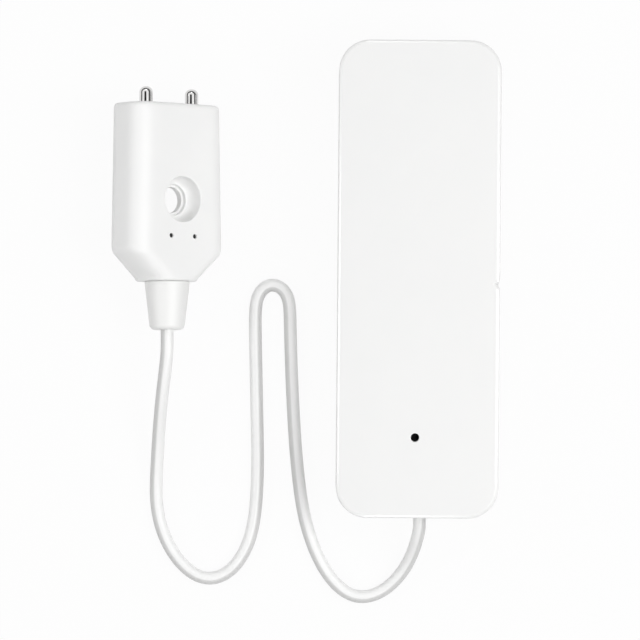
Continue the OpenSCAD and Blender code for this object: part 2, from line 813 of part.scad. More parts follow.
module battery_tray() {
    peg_hole_h = peg_h + slide_gap;
    color([0.16, 0.16, 0.17]) difference() {
        union() {
            translate([0, 0, board_top]) linear_extrude(tray_side_h) tray_outline();
            translate([0, 0, board_top]) linear_extrude(cell_z + tray_end_h - board_top) intersection() {
                tray_outline();
                for (y = [tray_y, tray_top_y - tray_end]) {
                    translate([-board_w / 2, y]) square([board_w, tray_end]);
                }
            }
        }
        for (sx = [-1, 1]) {
            translate([sx * cell_x, 0, cell_z]) along_y(tray_y + tray_end)
                cylinder(h = tray_l - 2 * tray_end, r = trough_r);
        }
        for (y = peg_ys) {
            translate([0, y, board_top - over]) cylinder(h = peg_hole_h + over, d = peg_d + 2 * slide_gap);
        }
    }
}

module contact_disc(x) {
    translate([x, -cell_z]) circle(d = contact_d);
}

module bridge_contact() {
    color(steel) along_y(cell_high_y) linear_extrude(contact_t) {
        contact_disc(-cell_x);
        contact_disc(cell_x);
        translate([0, -cell_z]) square([2 * cell_x, bridge_h], center = true);
    }
}

module positive_contact() {
    color(steel) along_y(cell_low_y - contact_t) linear_extrude(contact_t) contact_disc(-cell_x);
}

module negative_contact() {
    color(steel) along_y(cell_low_y - contact_t) linear_extrude(contact_t) contact_disc(cell_x);
}

// A spring's middle line, widest at its plate and narrowest at the cell
function spring_path(x, plate_y, towards) = [for (k = [0 : spring_turns * spring_rings])
    let (t = k / (spring_turns * spring_rings), a = 360 * k / spring_rings,
        r = (spring_base_d + (spring_tip_d - spring_base_d) * t) / 2)
    [x + r * cos(a), plate_y + towards * (spring_wire / 2 + (spring_l - spring_wire) * t),
        cell_z + r * sin(a)]];

// Least gap between a wound wire's turns, measured on the points of its middle line
function least_gap(p, d, apart) = min([for (i = [0 : len(p) - 1 - apart]) for (j = [i + apart : len(p) - 1])
    norm(p[i] - p[j])]) - d;

bridge_spring_path = spring_path(-cell_x, cell_high_y, -1);
negative_spring_path = spring_path(cell_x, cell_low_y, 1);
echo(spring_least_gap = least_gap(bridge_spring_path, spring_wire, spring_rings - 2));

module bridge_spring() {
    color(steel) tube(bridge_spring_path, spring_wire, spring_sides, [0, 1, 0]);
}

module negative_spring() {
    color(steel) tube(negative_spring_path, spring_wire, spring_sides, [0, 1, 0]);
}

// One cell's can, with its flat end at the origin and its nub towards +Y
module cell_can() {
    rotate([-90, 0, 0]) rotate_extrude() difference() {
        union() {
            square([can_r, can_l]);
            square([nub_d / 2, cell_l]);
        }
        translate([can_r, can_l]) corner_cut(can_edge_r);
        translate([can_r, 0]) mirror([0, 1]) corner_cut(can_edge_r);
        translate([nub_d / 2, cell_l]) corner_cut(can_edge_r / 2);
    }
}

module cell_sleeve() {
    rotate([-90, 0, 0]) translate([0, 0, bare_rim]) linear_extrude(can_l - 2 * bare_rim) difference() {
        circle(d = cell_d);
        circle(d = cell_d - 2 * sleeve_t);
    }
}

module first_cell() {
    translate([-cell_x, cell_low_y + cell_l, cell_z]) rotate(180) children();
}

module second_cell() {
    translate([cell_x, cell_high_y - cell_l, cell_z]) children();
}

module battery_cell_1() {
    color(steel) first_cell() cell_can();
}

module battery_cell_2() {
    color(steel) second_cell() cell_can();
}

module battery_sleeve_1() {
    color([0.20, 0.22, 0.26]) first_cell() cell_sleeve();
}

module battery_sleeve_2() {
    color([0.20, 0.22, 0.26]) second_cell() cell_sleeve();
}

// Lead

module in_exit(y) {
    translate([exit_x, 0, exit_z]) along_y(y) children();
}

module cable_grommet() {
    color(warm_white) difference() {
        union() {
            in_exit(-body_l / 2) cylinder(h = side_wall, d = grommet_d - 2 * close_gap);
            in_exit(bay_y) cylinder(h = flange_t, d = flange_d);
        }
        in_exit(-body_l / 2 - over)
            cylinder(h = side_wall + flange_t + 2 * over, d = cable_d + 2 * close_gap);
    }
}

module cable_tie() {
    color(white) difference() {
        union() {
            in_exit(tie_y - tie_w / 2) cylinder(h = tie_w, d = cable_d + 2 * tie_t);
            translate([exit_x - tie_head / 2, tie_y - tie_w / 2, exit_z])
                cube([tie_head, tie_w, cable_d / 2 + tie_head]);
        }
        in_exit(tie_y - tie_w) cylinder(h = 2 * tie_w, d = cable_d + 2 * close_gap);
    }
}

module cable_end_case() {
    color(white) in_exit(-body_l / 2) cylinder(h = side_wall + cable_in, d = cable_d);
}

module sensor_cable() {
    color(white) tube(spline(lead_points, lead_steps), cable_d, lead_sides);
}

module cable_end_probe() {
    color(white) place_probe() along_y(boot_end_y) cylinder(h = probe_cable_y - boot_end_y, d = cable_d);
}

module strain_relief() {
    color(warm_white) place_probe() along_y(boot_end_y) rotate_extrude() difference() {
        union() {
            difference() {
                polygon([[0, 0], [boot_tip_d / 2, 0], [boot_base_d / 2, boot_l], [0, boot_l]]);
                translate([boot_tip_d / 2, 0]) mirror([0, 1]) corner_cut(boot_edge_r);
            }
            square([neck_d / 2, boot_l + neck_l]);
        }
        translate([0, -over]) square([cable_d / 2 + close_gap, boot_l + neck_l + 2 * over]);
    }
}

// Probe

// Sections of the probe's loft, each a height along its axis and how far it is drawn in from the full width
// and from the full thickness
function probe_sections() = let (steps = 4, tangent = taper_r * tan(taper_angle / 2),
    tip_in = (probe_w - tip_w) / 2 - tip_edge_r * tan(taper_angle)) concat(
    [for (k = [0 : steps]) let (a = 90 * k / steps, inset = probe_edge_r * (1 - cos(a)))
        [probe_end_y - probe_edge_r * (1 - sin(a)), probe_draft + inset, inset]],
    [for (k = [0 : steps]) let (a = taper_angle * k / steps)
        [taper_y + tangent - taper_r * sin(a), taper_r * (1 - cos(a)), 0]],
    [for (k = [0 : 2]) let (a = 45 * k, inset = tip_edge_r * (1 - cos(a)))
        [-probe_l / 2 + tip_edge_r * (1 - sin(a)), tip_in + inset, inset]]);

module probe_body() {
    hull() {
        for (s = probe_sections()) {
            for (sx = [-1, 1]) {
                for (sz = [-1, 1]) {
                    r = (sz > 0 ? probe_face_r : probe_r) - s[2];
                    translate([sx * (probe_w / 2 - s[1] - r), s[0], sz * (probe_t / 2 - s[2] - r)])
                        rotate([s[0] > 0 ? 90 : -90, 0, 0]) cylinder(h = slice_t, r = r, $fn = 40);
                }
            }
        }
    }
}

module pocket_outline(gap) {
    translate([0, (pocket_top_y + pocket_low_y) / 2])
        rounded_plate(pocket_w - 2 * gap, pocket_top_y - pocket_low_y - 2 * gap, pocket_r);
}

module at_hole(z, h, d) {
    translate([0, hole_y, z]) cylinder(h = h, d = d);
}

// Flared cut behind the web, which passes through the back plate as well
module relief() {
    translate([0, hole_y, back_z - over])
        cylinder(h = relief_z - back_z + over, d1 = relief_width(back_z - over), d2 = relief_d);
}

module head_seat() {
    translate([0, hole_y, seat_z]) rotate_extrude() difference() {
        square([seat_d / 2, seat_depth + over]);
        translate([seat_d / 2, 0]) mirror([0, 1]) corner_cut(seat_r);
    }
}

module probe_shell() {
    color(white) place_probe() difference() {
        union() {
            difference() {
                probe_body();
                translate([0, 0, back_z - over]) linear_extrude(pocket_z - back_z + over) pocket_outline(0);
            }
            at_hole(boss_foot_z, pocket_z - boss_foot_z + over, boss_d);
            translate([0, hole_y, probe_plate_z])
                cylinder(h = boss_foot_z - probe_plate_z, d1 = boss_foot_d, d2 = boss_d);
        }
        head_seat();
        at_hole(seat_z - step_depth, step_depth + over, step_d);
        at_hole(relief_z - over, web_t + over, screw_hole_d);
        relief();
        for (sx = [-1, 1]) {
            translate([sx * pin_pitch / 2, 0, pin_z]) along_y(pocket_top_y - over)
                cylinder(h = probe_top + 2 * over, d = pin_d + 2 * close_gap);
            translate([sx * face_pitch / 2, face_y, pocket_z - over])
                cylinder(h = probe_front + 2 * over, d = face_hole_d);
        }
        along_y(-probe_l / 2 - over) cylinder(h = neck_l + 2 * over, d = neck_d + 2 * close_gap);
    }
}

module probe_back() {
    color(white) place_probe() difference() {
        translate([0, 0, back_z]) linear_extrude(back_plate_t) pocket_outline(slide_gap);
        relief();
    }
}

module probe_board() {
    high_y = pocket_top_y - pin_flange_t - probe_board_edge;
    color(green) place_probe() translate([0, 0, probe_board_z - probe_board_t])
        linear_extrude(probe_board_t) difference() {
            translate([0, (high_y + probe_board_low_y) / 2])
                square([pocket_w - 2 * probe_board_edge, high_y - probe_board_low_y], center = true);
            translate([0, hole_y]) circle(d = boss_d + 2 * slide_gap);
        }
}

// A sensing pin: round-ended outside, with a flange behind the wall and a tail on the board
module sensing_pin(x) {
    tail_y = pocket_top_y - pin_flange_t - pin_tail_l;
    flange_y = pocket_top_y - pin_flange_t;
    shank_l = probe_end_y + pin_out - flange_y;
    color(steel) place_probe() translate([x, 0, pin_z]) along_y(0) rotate_extrude() union() {
        translate([0, tail_y]) square([pin_tail_d / 2, pin_tail_l + pin_flange_t]);
        translate([0, flange_y]) square([pin_d / 2 + pin_flange, pin_flange_t]);
        translate([0, flange_y]) difference() {
            square([pin_d / 2, shank_l]);
            translate([pin_d / 2, shank_l]) corner_cut(pin_round);
        }
    }
}

module probe_pin_1() {
    sensing_pin(-pin_pitch / 2);
}

module probe_pin_2() {
    sensing_pin(pin_pitch / 2);
}

module face_contacts() {
    color(black) place_probe() {
        for (sx = [-1, 1]) {
            translate([sx * face_pitch / 2, face_y, probe_board_z]) {
                cylinder(h = pocket_z - probe_board_z, d = face_stem_d);
                cylinder(h = probe_t / 2 - face_recess - probe_board_z, d = face_hole_d - 2 * close_gap);
            }
        }
    }
}

module probe_cores() {
    place_probe() {
        for (sx = [-1, 1]) {
            color(sx < 0 ? black : red) translate([sx * core_pitch / 2, 0, 0]) along_y(probe_cable_y)
                cylinder(h = probe_core_l, d = core_d);
        }
    }
}

front_cover();
rear_housing();
main_board();
radio_chip();
crystal();
antenna();
capacitor();
small_components();
led_base();
led_lens();
switch_body();
switch_plate();
switch_legs();
reset_button();
board_screws();
wire_header();
wire_plug();
core_wires();
battery_tray();
bridge_contact();
bridge_spring();
positive_contact();
negative_contact();
negative_spring();
battery_cell_1();
battery_cell_2();
battery_sleeve_1();
battery_sleeve_2();
cable_grommet();
cable_tie();
cable_end_case();
sensor_cable();
cable_end_probe();
strain_relief();
probe_shell();
probe_back();
probe_board();
probe_pin_1();
probe_pin_2();
face_contacts();
probe_cores();
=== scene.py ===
"""Looks of a water leak sensor: a slim two-cell case, a thin lead and a tapered probe with two sensing pins.

Shapes are worked out in millimetres as arrays of points: a wall's section carried round an outline, a
profile turned about an axis, or a circle carried along a path. They go into meshes in metres, in the part's
own frame.
"""

import json
import math

import bpy
import numpy as np
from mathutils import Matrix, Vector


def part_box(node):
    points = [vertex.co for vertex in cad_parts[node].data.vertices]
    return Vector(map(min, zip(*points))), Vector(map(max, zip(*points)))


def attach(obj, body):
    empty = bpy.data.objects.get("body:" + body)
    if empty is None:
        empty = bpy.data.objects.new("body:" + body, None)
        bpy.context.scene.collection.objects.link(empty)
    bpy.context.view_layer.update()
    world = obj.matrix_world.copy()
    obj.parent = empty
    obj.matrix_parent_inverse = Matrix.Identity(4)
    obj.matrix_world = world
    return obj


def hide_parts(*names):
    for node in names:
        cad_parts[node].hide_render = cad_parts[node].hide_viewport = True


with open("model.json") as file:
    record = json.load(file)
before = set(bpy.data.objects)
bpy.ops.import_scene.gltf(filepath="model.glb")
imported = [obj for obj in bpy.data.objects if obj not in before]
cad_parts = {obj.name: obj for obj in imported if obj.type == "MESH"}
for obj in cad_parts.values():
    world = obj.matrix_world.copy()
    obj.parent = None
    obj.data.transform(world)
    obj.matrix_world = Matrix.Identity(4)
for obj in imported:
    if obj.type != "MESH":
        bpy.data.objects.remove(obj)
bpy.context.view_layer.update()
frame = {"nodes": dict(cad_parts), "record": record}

MM = 0.001
CASE, COVER = "case", "cover"


def box_mm(node):
    """Lowest and highest corner of a node of the frame, in millimetres."""
    return tuple(np.array(corner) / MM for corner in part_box(node))


# Sizes of the case, in millimetres
COVER_LO, COVER_HI = box_mm("front_cover")
BUTTON_LO, BUTTON_HI = box_mm("reset_button")
CASE_W, CASE_L = (COVER_HI - COVER_LO)[:2]
SEAM_Z, FACE_Z = COVER_LO[2], COVER_HI[2]
LIP_TOP = box_mm("rear_housing")[1][2]
CORNER_R = 4.8
FACE_EDGE_R, FACE_CHAMFER, FACE_CHAMFER_LEAN, FACE_EASE_R = 0.36, 0.24, math.radians(26), 0.35
FACE_WALL = 1.6
SIDE_WALL = 1.6
SKIRT_T, SHELF_SOFT, SHELF_CLEAR = 0.9, 0.06, 0.01
INNER_FILLET = 0.35
SOFT_EDGE = 0.12
NOTCH_Y, NOTCH_DEPTH, NOTCH_UP, NOTCH_DOWN = -0.7, 0.55, 0.4, 0.7
PINHOLE_X, PINHOLE_Y = ((BUTTON_LO + BUTTON_HI) / 2)[:2]
PINHOLE_R = 0.65
GUIDE_WALL = 0.9
GUIDE_Z = BUTTON_HI[2] + 0.5
RIB_T, RIB_H, RIB_L, RIB_Y, RIB_CORNER_R, RIB_SUNK = 1.2, 2.0, 29.7, 9.4, 0.3, 0.2

# Sizes of the probe, in millimetres, in its own frame: X across, Y towards the pins, Z out of the front
PROBE_W, PROBE_T, PROBE_L = 18.2, 8.0, 27.5
PROBE_BACK_R, PROBE_EDGE_R, PROBE_DRAFT = 2.5, 0.7, 0.45
PROBE_FACE_R, PROBE_FACE_EASE = 4.0, 2.79
TAPER_L, TAPER_R, TIP_W, TIP_EDGE_R = 4.5, 2.0, 8.0, 0.4
HOLE_Y = PROBE_L / 2 - 14.9
SEAT_R, SEAT_Z, SEAT_FILLET_W, SEAT_FILLET_H, SEAT_RIM = 3.5, 1.6, 0.95, 1.7, 0.18
HOLE_EDGE = 0.06
STEP_R, STEP_Z = 2.4, 1.0
SCREW_HOLE_R, WEB_Z = 2.0, -0.05
RELIEF_WEB_R, RELIEF_BACK_R = 2.9, 5.4
BOSS_WALL, BOSS_FOOT_Z, BACK_PLATE_Z = 0.8, -1.25, -2.8
POCKET_Z, POCKET_HALF_W, POCKET_R = 2.6, 6.15, 0.25
POCKET_LOW_Y, POCKET_HIGH_Y = TAPER_L - PROBE_L / 2, PROBE_L / 2 - 1.8
PIN_R, PIN_X, PIN_Z, PIN_OUT, PIN_ROUND = 1.05, 4.5, 0.4, 2.6, 0.95
PIN_FLANGE_R, PIN_FLANGE_T, PIN_TAIL_R, PIN_TAIL_L = 1.35, 0.7, 0.78, 2.5
PIN_WALL, PIN_FOOT = 1.8, 0.2
FACE_HOLE_R, FACE_HOLE_X, FACE_HOLE_Y, FACE_HOLE_DEPTH = 0.375, 2.3, HOLE_Y - 5.7, 0.9
BOOT_L, BOOT_BASE_R, BOOT_TIP_R, BOOT_EDGE_R, BOOT_NECK_R = 7.5, 3.5, 2.75, 0.8, 2.3
BOOT_GROOVE, BOOT_RIM, BOOT_MOUTH_W, BOOT_MOUTH_L, BOOT_GAP = 0.18, 0.35, 0.2, 0.25, 0.02
PROBE_X, PROBE_Y = -39.0, 13.1
TILT, PITCH, TURN = math.radians(40), math.radians(2.5), math.radians(0.5)

# Sizes of the lead, cells and contacts, in millimetres
LEAD_R = 1.0
# painted shade along the lead: the turn round it at which a grey band sits, its half width and its soft edge
SHADE_BAND_AT, SHADE_BAND_HALF, SHADE_BAND_SOFT = math.radians(150), math.radians(43), math.radians(7)
EXIT_X, EXIT_Z = 0.6, 6.2
CORE_R, CORE_PITCH = 0.4, 0.92
PLUG_LO, PLUG_HI = box_mm("wire_plug")
PLUG_PITCH = 1.5
CELL_X, CELL_Z, CELL_R, CELL_L, NUB_R = 5.35, 9.9, 5.2, 44.5, 1.9
CAN_R, CAN_L, CAN_EDGE_R, NUB_EDGE_R = 5.06, 43.5, 0.4, 0.25
DISC_R, DISC_DEPTH, DISC_SLOPE = 3.5, 0.14, 0.12
CRIMP_R, CRIMP_SLOPE, CRIMP_DEPTH, SEAL_R, SEAL_SLOPE = 4.35, 0.15, 0.22, 2.5, 0.25
SLEEVE_T, SLEEVE_RIM, SLEEVE_HEM = 0.12, 0.6, 0.05
BAND_AT, BAND_HALF, BAND_SOFT = 34.5, 2.45, 0.05
SPRING_L, SPRING_WIRE, SPRING_BASE_R, SPRING_TIP_R, SPRING_TURNS = 3.0, 0.5, 3.2, 1.7, 3
POLE_R = 0.05


# Shapes

def arc(across, up, radius, start, end, steps=6):
    """Points of a circle's arc in a section, about (across, up), between two angles in degrees."""
    a = np.radians(np.linspace(start, end, steps + 1))
    return np.stack([across + radius * np.cos(a), up + radius * np.sin(a)], axis=-1)


def ring_quads(rings, sides, closed, seam=0):
    """Faces of a grid of rings: each joins two neighbours on one ring to the same two on the next ring. With
    a seam of 1 each ring ends in one more column instead of coming back to its first."""
    start = np.arange(rings)[:, None] * (sides + seam)
    near, far = start, np.roll(start, -1, axis=0)
    if not closed:
        near, far = near[:-1], far[:-1]
    k = np.arange(sides)
    after = (k + 1) % (sides + seam)
    return np.stack([near + k, near + after, far + after, far + k], axis=-1).reshape(-1, 4)


def signed_volume(points, quads):
    """Sum of the tetrahedra between the origin and each quad's two triangles."""
    a, b, c, d = (points[quads[:, i]] for i in range(4))
    return (np.sum(a * np.cross(b, c)) + np.sum(a * np.cross(c, d))) / 6


def spline(points, steps):
    """Uniform cubic B-spline: each stretch weighs the four nearest points by the cubic basis, and a mirrored
    point beyond each end holds the curve there."""
    held = np.vstack([2 * points[0] - points[1], points, 2 * points[-1] - points[-2]])
    t = np.linspace(0, 1, steps, endpoint=False)
    weights = [(1 - t) ** 3, 3 * t**3 - 6 * t**2 + 4, -3 * t**3 + 3 * t**2 + 3 * t + 1, t**3]
    basis = np.stack(weights, axis=-1) / 6
    stretches = np.stack([held[i:len(held) - 3 + i] for i in range(4)], axis=1)
    curve = np.einsum("tk,skc->stc", basis, stretches).reshape(-1, 3)
    return np.vstack([curve, points[-1]])


def bend(a, b, c, d, steps):
    """Cubic curve that leaves a towards b and reaches d from c."""
    t = np.linspace(0, 1, steps + 1)[:, None]
    return (1 - t) ** 3 * a + 3 * (1 - t) ** 2 * t * b + 3 * (1 - t) * t**2 * c + t**3 * d


def tube_rings(path, radius, sides, side):
    """Circles square to a path. side is a direction that the path never takes, so they don't twist."""
    along = np.gradient(path, axis=0)
    along /= np.linalg.norm(along, axis=1, keepdims=True)
    across = np.cross(along, side)
    across /= np.linalg.norm(across, axis=1, keepdims=True)
    up = np.cross(across, along)
    a = np.linspace(0, 2 * np.pi, sides, endpoint=False)[None, :, None]
    return path[:, None] + radius * (across[:, None] * np.cos(a) + up[:, None] * np.sin(a))


def turned_rings(profile, sides, middle=(0.0, 0.0)):
    """A profile of (radius, height) points turned about an axis along Y through middle in X and Z."""
    a = np.linspace(0, 2 * np.pi, sides, endpoint=False)
    radius, height = profile[:, 0, None], profile[:, 1, None]
    x, z = middle[0] + radius * np.cos(a), middle[1] + radius * np.sin(a)
    return np.stack(np.broadcast_arrays(x, height, z), axis=-1)


def probe_frame():
    """Turn and middle of the probe: rolled about Y, its lead end lifted, turned on the table, and set at the
    height at which its lowest long edge just clears the table."""
    (ct, st), (cp, sp), (cu, su) = ((math.cos(a), math.sin(a)) for a in (TILT, PITCH, TURN))
    roll = np.array([[ct, 0, st], [0, 1, 0], [-st, 0, ct]])
    lift = np.array([[1, 0, 0], [0, cp, sp], [0, -sp, cp]])
    turn = np.array([[cu, -su, 0], [su, cu, 0], [0, 0, 1]])
    edge = PROBE_BACK_R
    drop = (PROBE_W / 2 - edge) * st + (PROBE_T / 2 - edge) * ct + edge
    height = drop * cp + PROBE_L / 2 * sp
    return turn @ lift @ roll, np.array([PROBE_X, PROBE_Y, height])


PROBE_TURN, PROBE_MIDDLE = probe_frame()


def on_probe(points):
    """Points of the probe's own frame in the part's frame."""
    return points @ PROBE_TURN.T + PROBE_MIDDLE


# Pieces

def add_piece(name, rings, body, slot, nodes, closed=True, crease=32, uv=None):
    """A surface of rings, in millimetres, as a smooth mesh in metres that is sharp where it bends past
    crease. Open rings get a cap at each end, and a closed set of rings joins its last ring to its first. The
    UV map has one column more than a ring has points, so that it closes round the ring."""
    count, sides = rings.shape[:2]
    points = rings.reshape(-1, 3)
    quads = ring_quads(count, sides, closed)
    way = -1 if signed_volume(points, quads) < 0 else 1
    quads = quads[:, ::way]
    faces = quads.tolist()
    if not closed:
        first = np.arange(sides)
        last = first + (count - 1) * sides
        faces += [first[::-way].tolist(), last[::way].tolist()]
    mesh = bpy.data.meshes.new(name)
    mesh.from_pydata((points * MM).tolist(), [], faces)
    mesh.polygons.foreach_set("use_smooth", np.ones(len(faces), dtype=bool))
    mesh.set_sharp_from_angle(angle=math.radians(crease))
    if uv is not None:
        layer = mesh.uv_layers.new(name="UVMap")
        corners = ring_quads(count, sides, closed, seam=1)[:, ::way].ravel()
        on_walls = uv.reshape(-1, 2)[corners]
        on_caps = np.broadcast_to(uv[0, 0], (len(mesh.loops) - len(corners), 2))
        layer.data.foreach_set("uv", np.vstack([on_walls, on_caps]).astype(np.float32).ravel())
    mesh.materials.append(MATERIALS[slot])
    piece = bpy.data.objects.new(name, mesh)
    bpy.context.scene.collection.objects.link(piece)
    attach(piece, body)
    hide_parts(*nodes)
    return piece


def along_and_round(rings):
    """UV of a tube: metres along its middle line, and metres round it."""
    middle = rings.mean(axis=1)
    along = np.concatenate([[0], np.cumsum(np.linalg.norm(np.diff(middle, axis=0), axis=1))])
    girth = np.linalg.norm(rings[0] - np.roll(rings[0], -1, axis=0), axis=1).sum()
    u, v = np.meshgrid(along, np.linspace(0, girth, rings.shape[1] + 1), indexing="ij")
    return np.stack([u, v], axis=-1) * MM


# Finishes

def add_node(tree, kind, inputs=(), **settings):
    """One shader node: settings are its properties, inputs its sockets, each a value or a link."""
    made = tree.nodes.new(kind)
    for key, value in settings.items():
        setattr(made, key, value)
    for key, value in dict(inputs).items():
        if isinstance(value, bpy.types.NodeSocket):
            tree.links.new(value, made.inputs[key])
        else:
            made.inputs[key].default_value = value
    return made


def new_finish(name, **constants):
    """A Principled material with constants on its own sockets, and its tree, shader and coordinates."""
    material = bpy.data.materials.new(name)
    material.use_nodes = True
    tree = material.node_tree
    shader = tree.nodes["Principled BSDF"]
    for socket, value in constants.items():
        shader.inputs[socket.replace("_", " ")].default_value = value
    return material, tree, shader, tree.nodes.new("ShaderNodeTexCoord")


def noise(tree, place, scale, detail=2.0, roughness=0.5, stretch=None):
    """Noise with that many cycles to the metre, stretched along the axes where stretch says."""
    if stretch:
        place = add_node(tree, "ShaderNodeMapping", {"Vector": place, "Scale": stretch}).outputs[0]
    return add_node(tree, "ShaderNodeTexNoise", {"Vector": place, "Scale": scale, "Detail": detail,
                                                 "Roughness": roughness}).outputs["Fac"]


def spread(tree, value, low, high, out_low, out_high):
    """value between low and high, carried to the range out_low to out_high."""
    return add_node(tree, "ShaderNodeMapRange", {"Value": value, "From Min": low, "From Max": high,
                                                 "To Min": out_low, "To Max": out_high}).outputs[0]


def mixed(tree, share, first, second):
    """Colour between two colours, each a value or a link."""
    node = add_node(tree, "ShaderNodeMix", data_type="RGBA")
    for socket, value in ((node.inputs[0], share), (node.inputs[6], first), (node.inputs[7], second)):
        if isinstance(value, bpy.types.NodeSocket):
            tree.links.new(value, socket)
        else:
            socket.default_value = value
    return node.outputs[2]


def rgba(colour):
    """A colour with full cover."""
    return (*colour, 1.0)


def bumped(tree, shader, height, depth, strength=1.0):
    """Gives the shader a bump of that depth, in metres."""
    bump = add_node(tree, "ShaderNodeBump", {"Height": height, "Distance": depth, "Strength": strength})
    tree.links.new(bump.outputs[0], shader.inputs["Normal"])


def moulded(name, light, shade, gloss=(0.34, 0.46), grain=6000, depth=0.000008, specks=0.5, **constants):
    """Moulded plastic: slow clouds between two near colours, small specks, a fine eroded grain and an uneven
    gloss."""
    material, tree, shader, coords = new_finish(name, **constants)
    place = coords.outputs["Object"]
    clouds = spread(tree, noise(tree, place, 140, 3), 0.35, 0.65, 0, 1)
    speck = spread(tree, noise(tree, place, 2600, 1), 0.70, 0.78, 0, specks)
    colour = mixed(tree, clouds, rgba(light), rgba(shade))
    dull = [0.94 * c for c in shade]
    tree.links.new(mixed(tree, speck, colour, rgba(dull)), shader.inputs["Base Color"])
    tree.links.new(spread(tree, noise(tree, place, 700, 2), 0.3, 0.7, *gloss), shader.inputs["Roughness"])
    bumped(tree, shader, noise(tree, place, grain, 3, 0.6), depth)
    return material


def plated(name, colour, gloss=(0.10, 0.22), grain=(900, 900, 60), depth=0.000001):
    """Plated metal: faint streaks along the piece, uneven gloss and a little tarnish."""
    material, tree, shader, coords = new_finish(name, Metallic=1.0)
    place = coords.outputs["Object"]
    streaks = noise(tree, place, 6, 3, 0.6, stretch=grain)
    tarnish = spread(tree, noise(tree, place, 300, 3), 0.45, 0.75, 0, 0.35)
    dull = [0.8 * c for c in colour]
    tree.links.new(mixed(tree, tarnish, rgba(colour), rgba(dull)), shader.inputs["Base Color"])
    tree.links.new(spread(tree, streaks, 0.3, 0.7, *gloss), shader.inputs["Roughness"])
    bumped(tree, shader, streaks, depth)
    return material


def drawn_jacket(name, light, shade, painted_shade):
    """Jacket of the lead: drawn lines along it, faint clouds, a soft sheen and painted shade, a grey band
    down one side.
    """
    material, tree, shader, coords = new_finish(name, Coat_Weight=0.15, Coat_Roughness=0.3)
    place = coords.outputs["UV"]
    lines = noise(tree, place, 1, 2, stretch=(60, 3000, 1))
    clouds = spread(tree, noise(tree, coords.outputs["Object"], 400, 2), 0.35, 0.65, 0, 1)
    jacket = mixed(tree, clouds, rgba(light), rgba(shade))
    # painted shade: a grey band at a fixed turn round the lead, from one end of it to the other
    round_it = add_node(tree, "ShaderNodeSeparateXYZ", {"Vector": place}).outputs[1]
    turn = add_node(tree, "ShaderNodeMath", {0: round_it, 1: LEAD_R * MM}, operation="DIVIDE").outputs[0]
    from_middle = add_node(tree, "ShaderNodeMath", {0: turn, 1: SHADE_BAND_AT}, operation="SUBTRACT").outputs[0]
    distance = add_node(tree, "ShaderNodeMath", {0: from_middle}, operation="ABSOLUTE").outputs[0]
    in_painted_shade = spread(tree, distance, SHADE_BAND_HALF - SHADE_BAND_SOFT, SHADE_BAND_HALF + SHADE_BAND_SOFT, 1, 0)
    tree.links.new(mixed(tree, in_painted_shade, jacket, rgba(painted_shade)), shader.inputs["Base Color"])
    tree.links.new(spread(tree, lines, 0.3, 0.7, 0.36, 0.46), shader.inputs["Roughness"])
    bumped(tree, shader, lines, 0.000002)
    return material


def solder_mask(name):
    """Board under its solder mask: copper runs show as paler lines, with tinned dots where runs end."""
    material, tree, shader, coords = new_finish(name)
    place = coords.outputs["Object"]
    layout = {"Vector": place, "Scale": 420.0, "Mortar Size": 0.045, "Mortar Smooth": 0.1,
              "Brick Width": 1.9, "Row Height": 0.55}
    runs = add_node(tree, "ShaderNodeTexBrick", layout, offset=0.37, squash=0.6).outputs["Fac"]
    shown = spread(tree, noise(tree, place, 170, 1), 0.46, 0.5, 0, 1)
    line = add_node(tree, "ShaderNodeMath", {0: runs, 1: shown}, operation="MULTIPLY").outputs[0]
    dots = add_node(tree, "ShaderNodeTexVoronoi", {"Vector": place, "Scale": 380.0}).outputs["Distance"]
    tinned = spread(tree, dots, 0.09, 0.12, 1, 0)
    mask = mixed(tree, line, rgba((0.012, 0.10, 0.045)), rgba((0.05, 0.24, 0.10)))
    tree.links.new(mixed(tree, tinned, mask, rgba((0.55, 0.55, 0.52))), shader.inputs["Base Color"])
    tree.links.new(spread(tree, noise(tree, place, 900, 2), 0.3, 0.7, 0.25, 0.4), shader.inputs["Roughness"])
    bumped(tree, shader, line, 0.00003)
    return material


def printed_sleeve(name, body, band):
    """Film sleeve of a cell: a plain coloured film with one pale band near the positive end."""
    material, tree, shader, coords = new_finish(name, Coat_Weight=0.6, Coat_Roughness=0.12)
    place = coords.outputs["Object"]
    along = add_node(tree, "ShaderNodeSeparateXYZ", {"Vector": coords.outputs["UV"]}).outputs[0]
    past_band = add_node(tree, "ShaderNodeMath", {0: along, 1: BAND_AT * MM}, operation="SUBTRACT")
    distance = add_node(tree, "ShaderNodeMath", {0: past_band.outputs[0]}, operation="ABSOLUTE").outputs[0]
    in_band = spread(tree, distance, (BAND_HALF - BAND_SOFT) * MM, (BAND_HALF + BAND_SOFT) * MM, 1, 0)
    clouds = spread(tree, noise(tree, place, 200, 2), 0.35, 0.65, 0, 1)
    film = mixed(tree, clouds, rgba(body), rgba([1.15 * c for c in body]))
    tree.links.new(mixed(tree, in_band, film, rgba(band)), shader.inputs["Base Color"])
    gloss = spread(tree, noise(tree, place, 1500, 2), 0.3, 0.7, 0.24, 0.38)
    tree.links.new(gloss, shader.inputs["Roughness"])
    bumped(tree, shader, noise(tree, place, 500, 2), 0.00002)
    return material


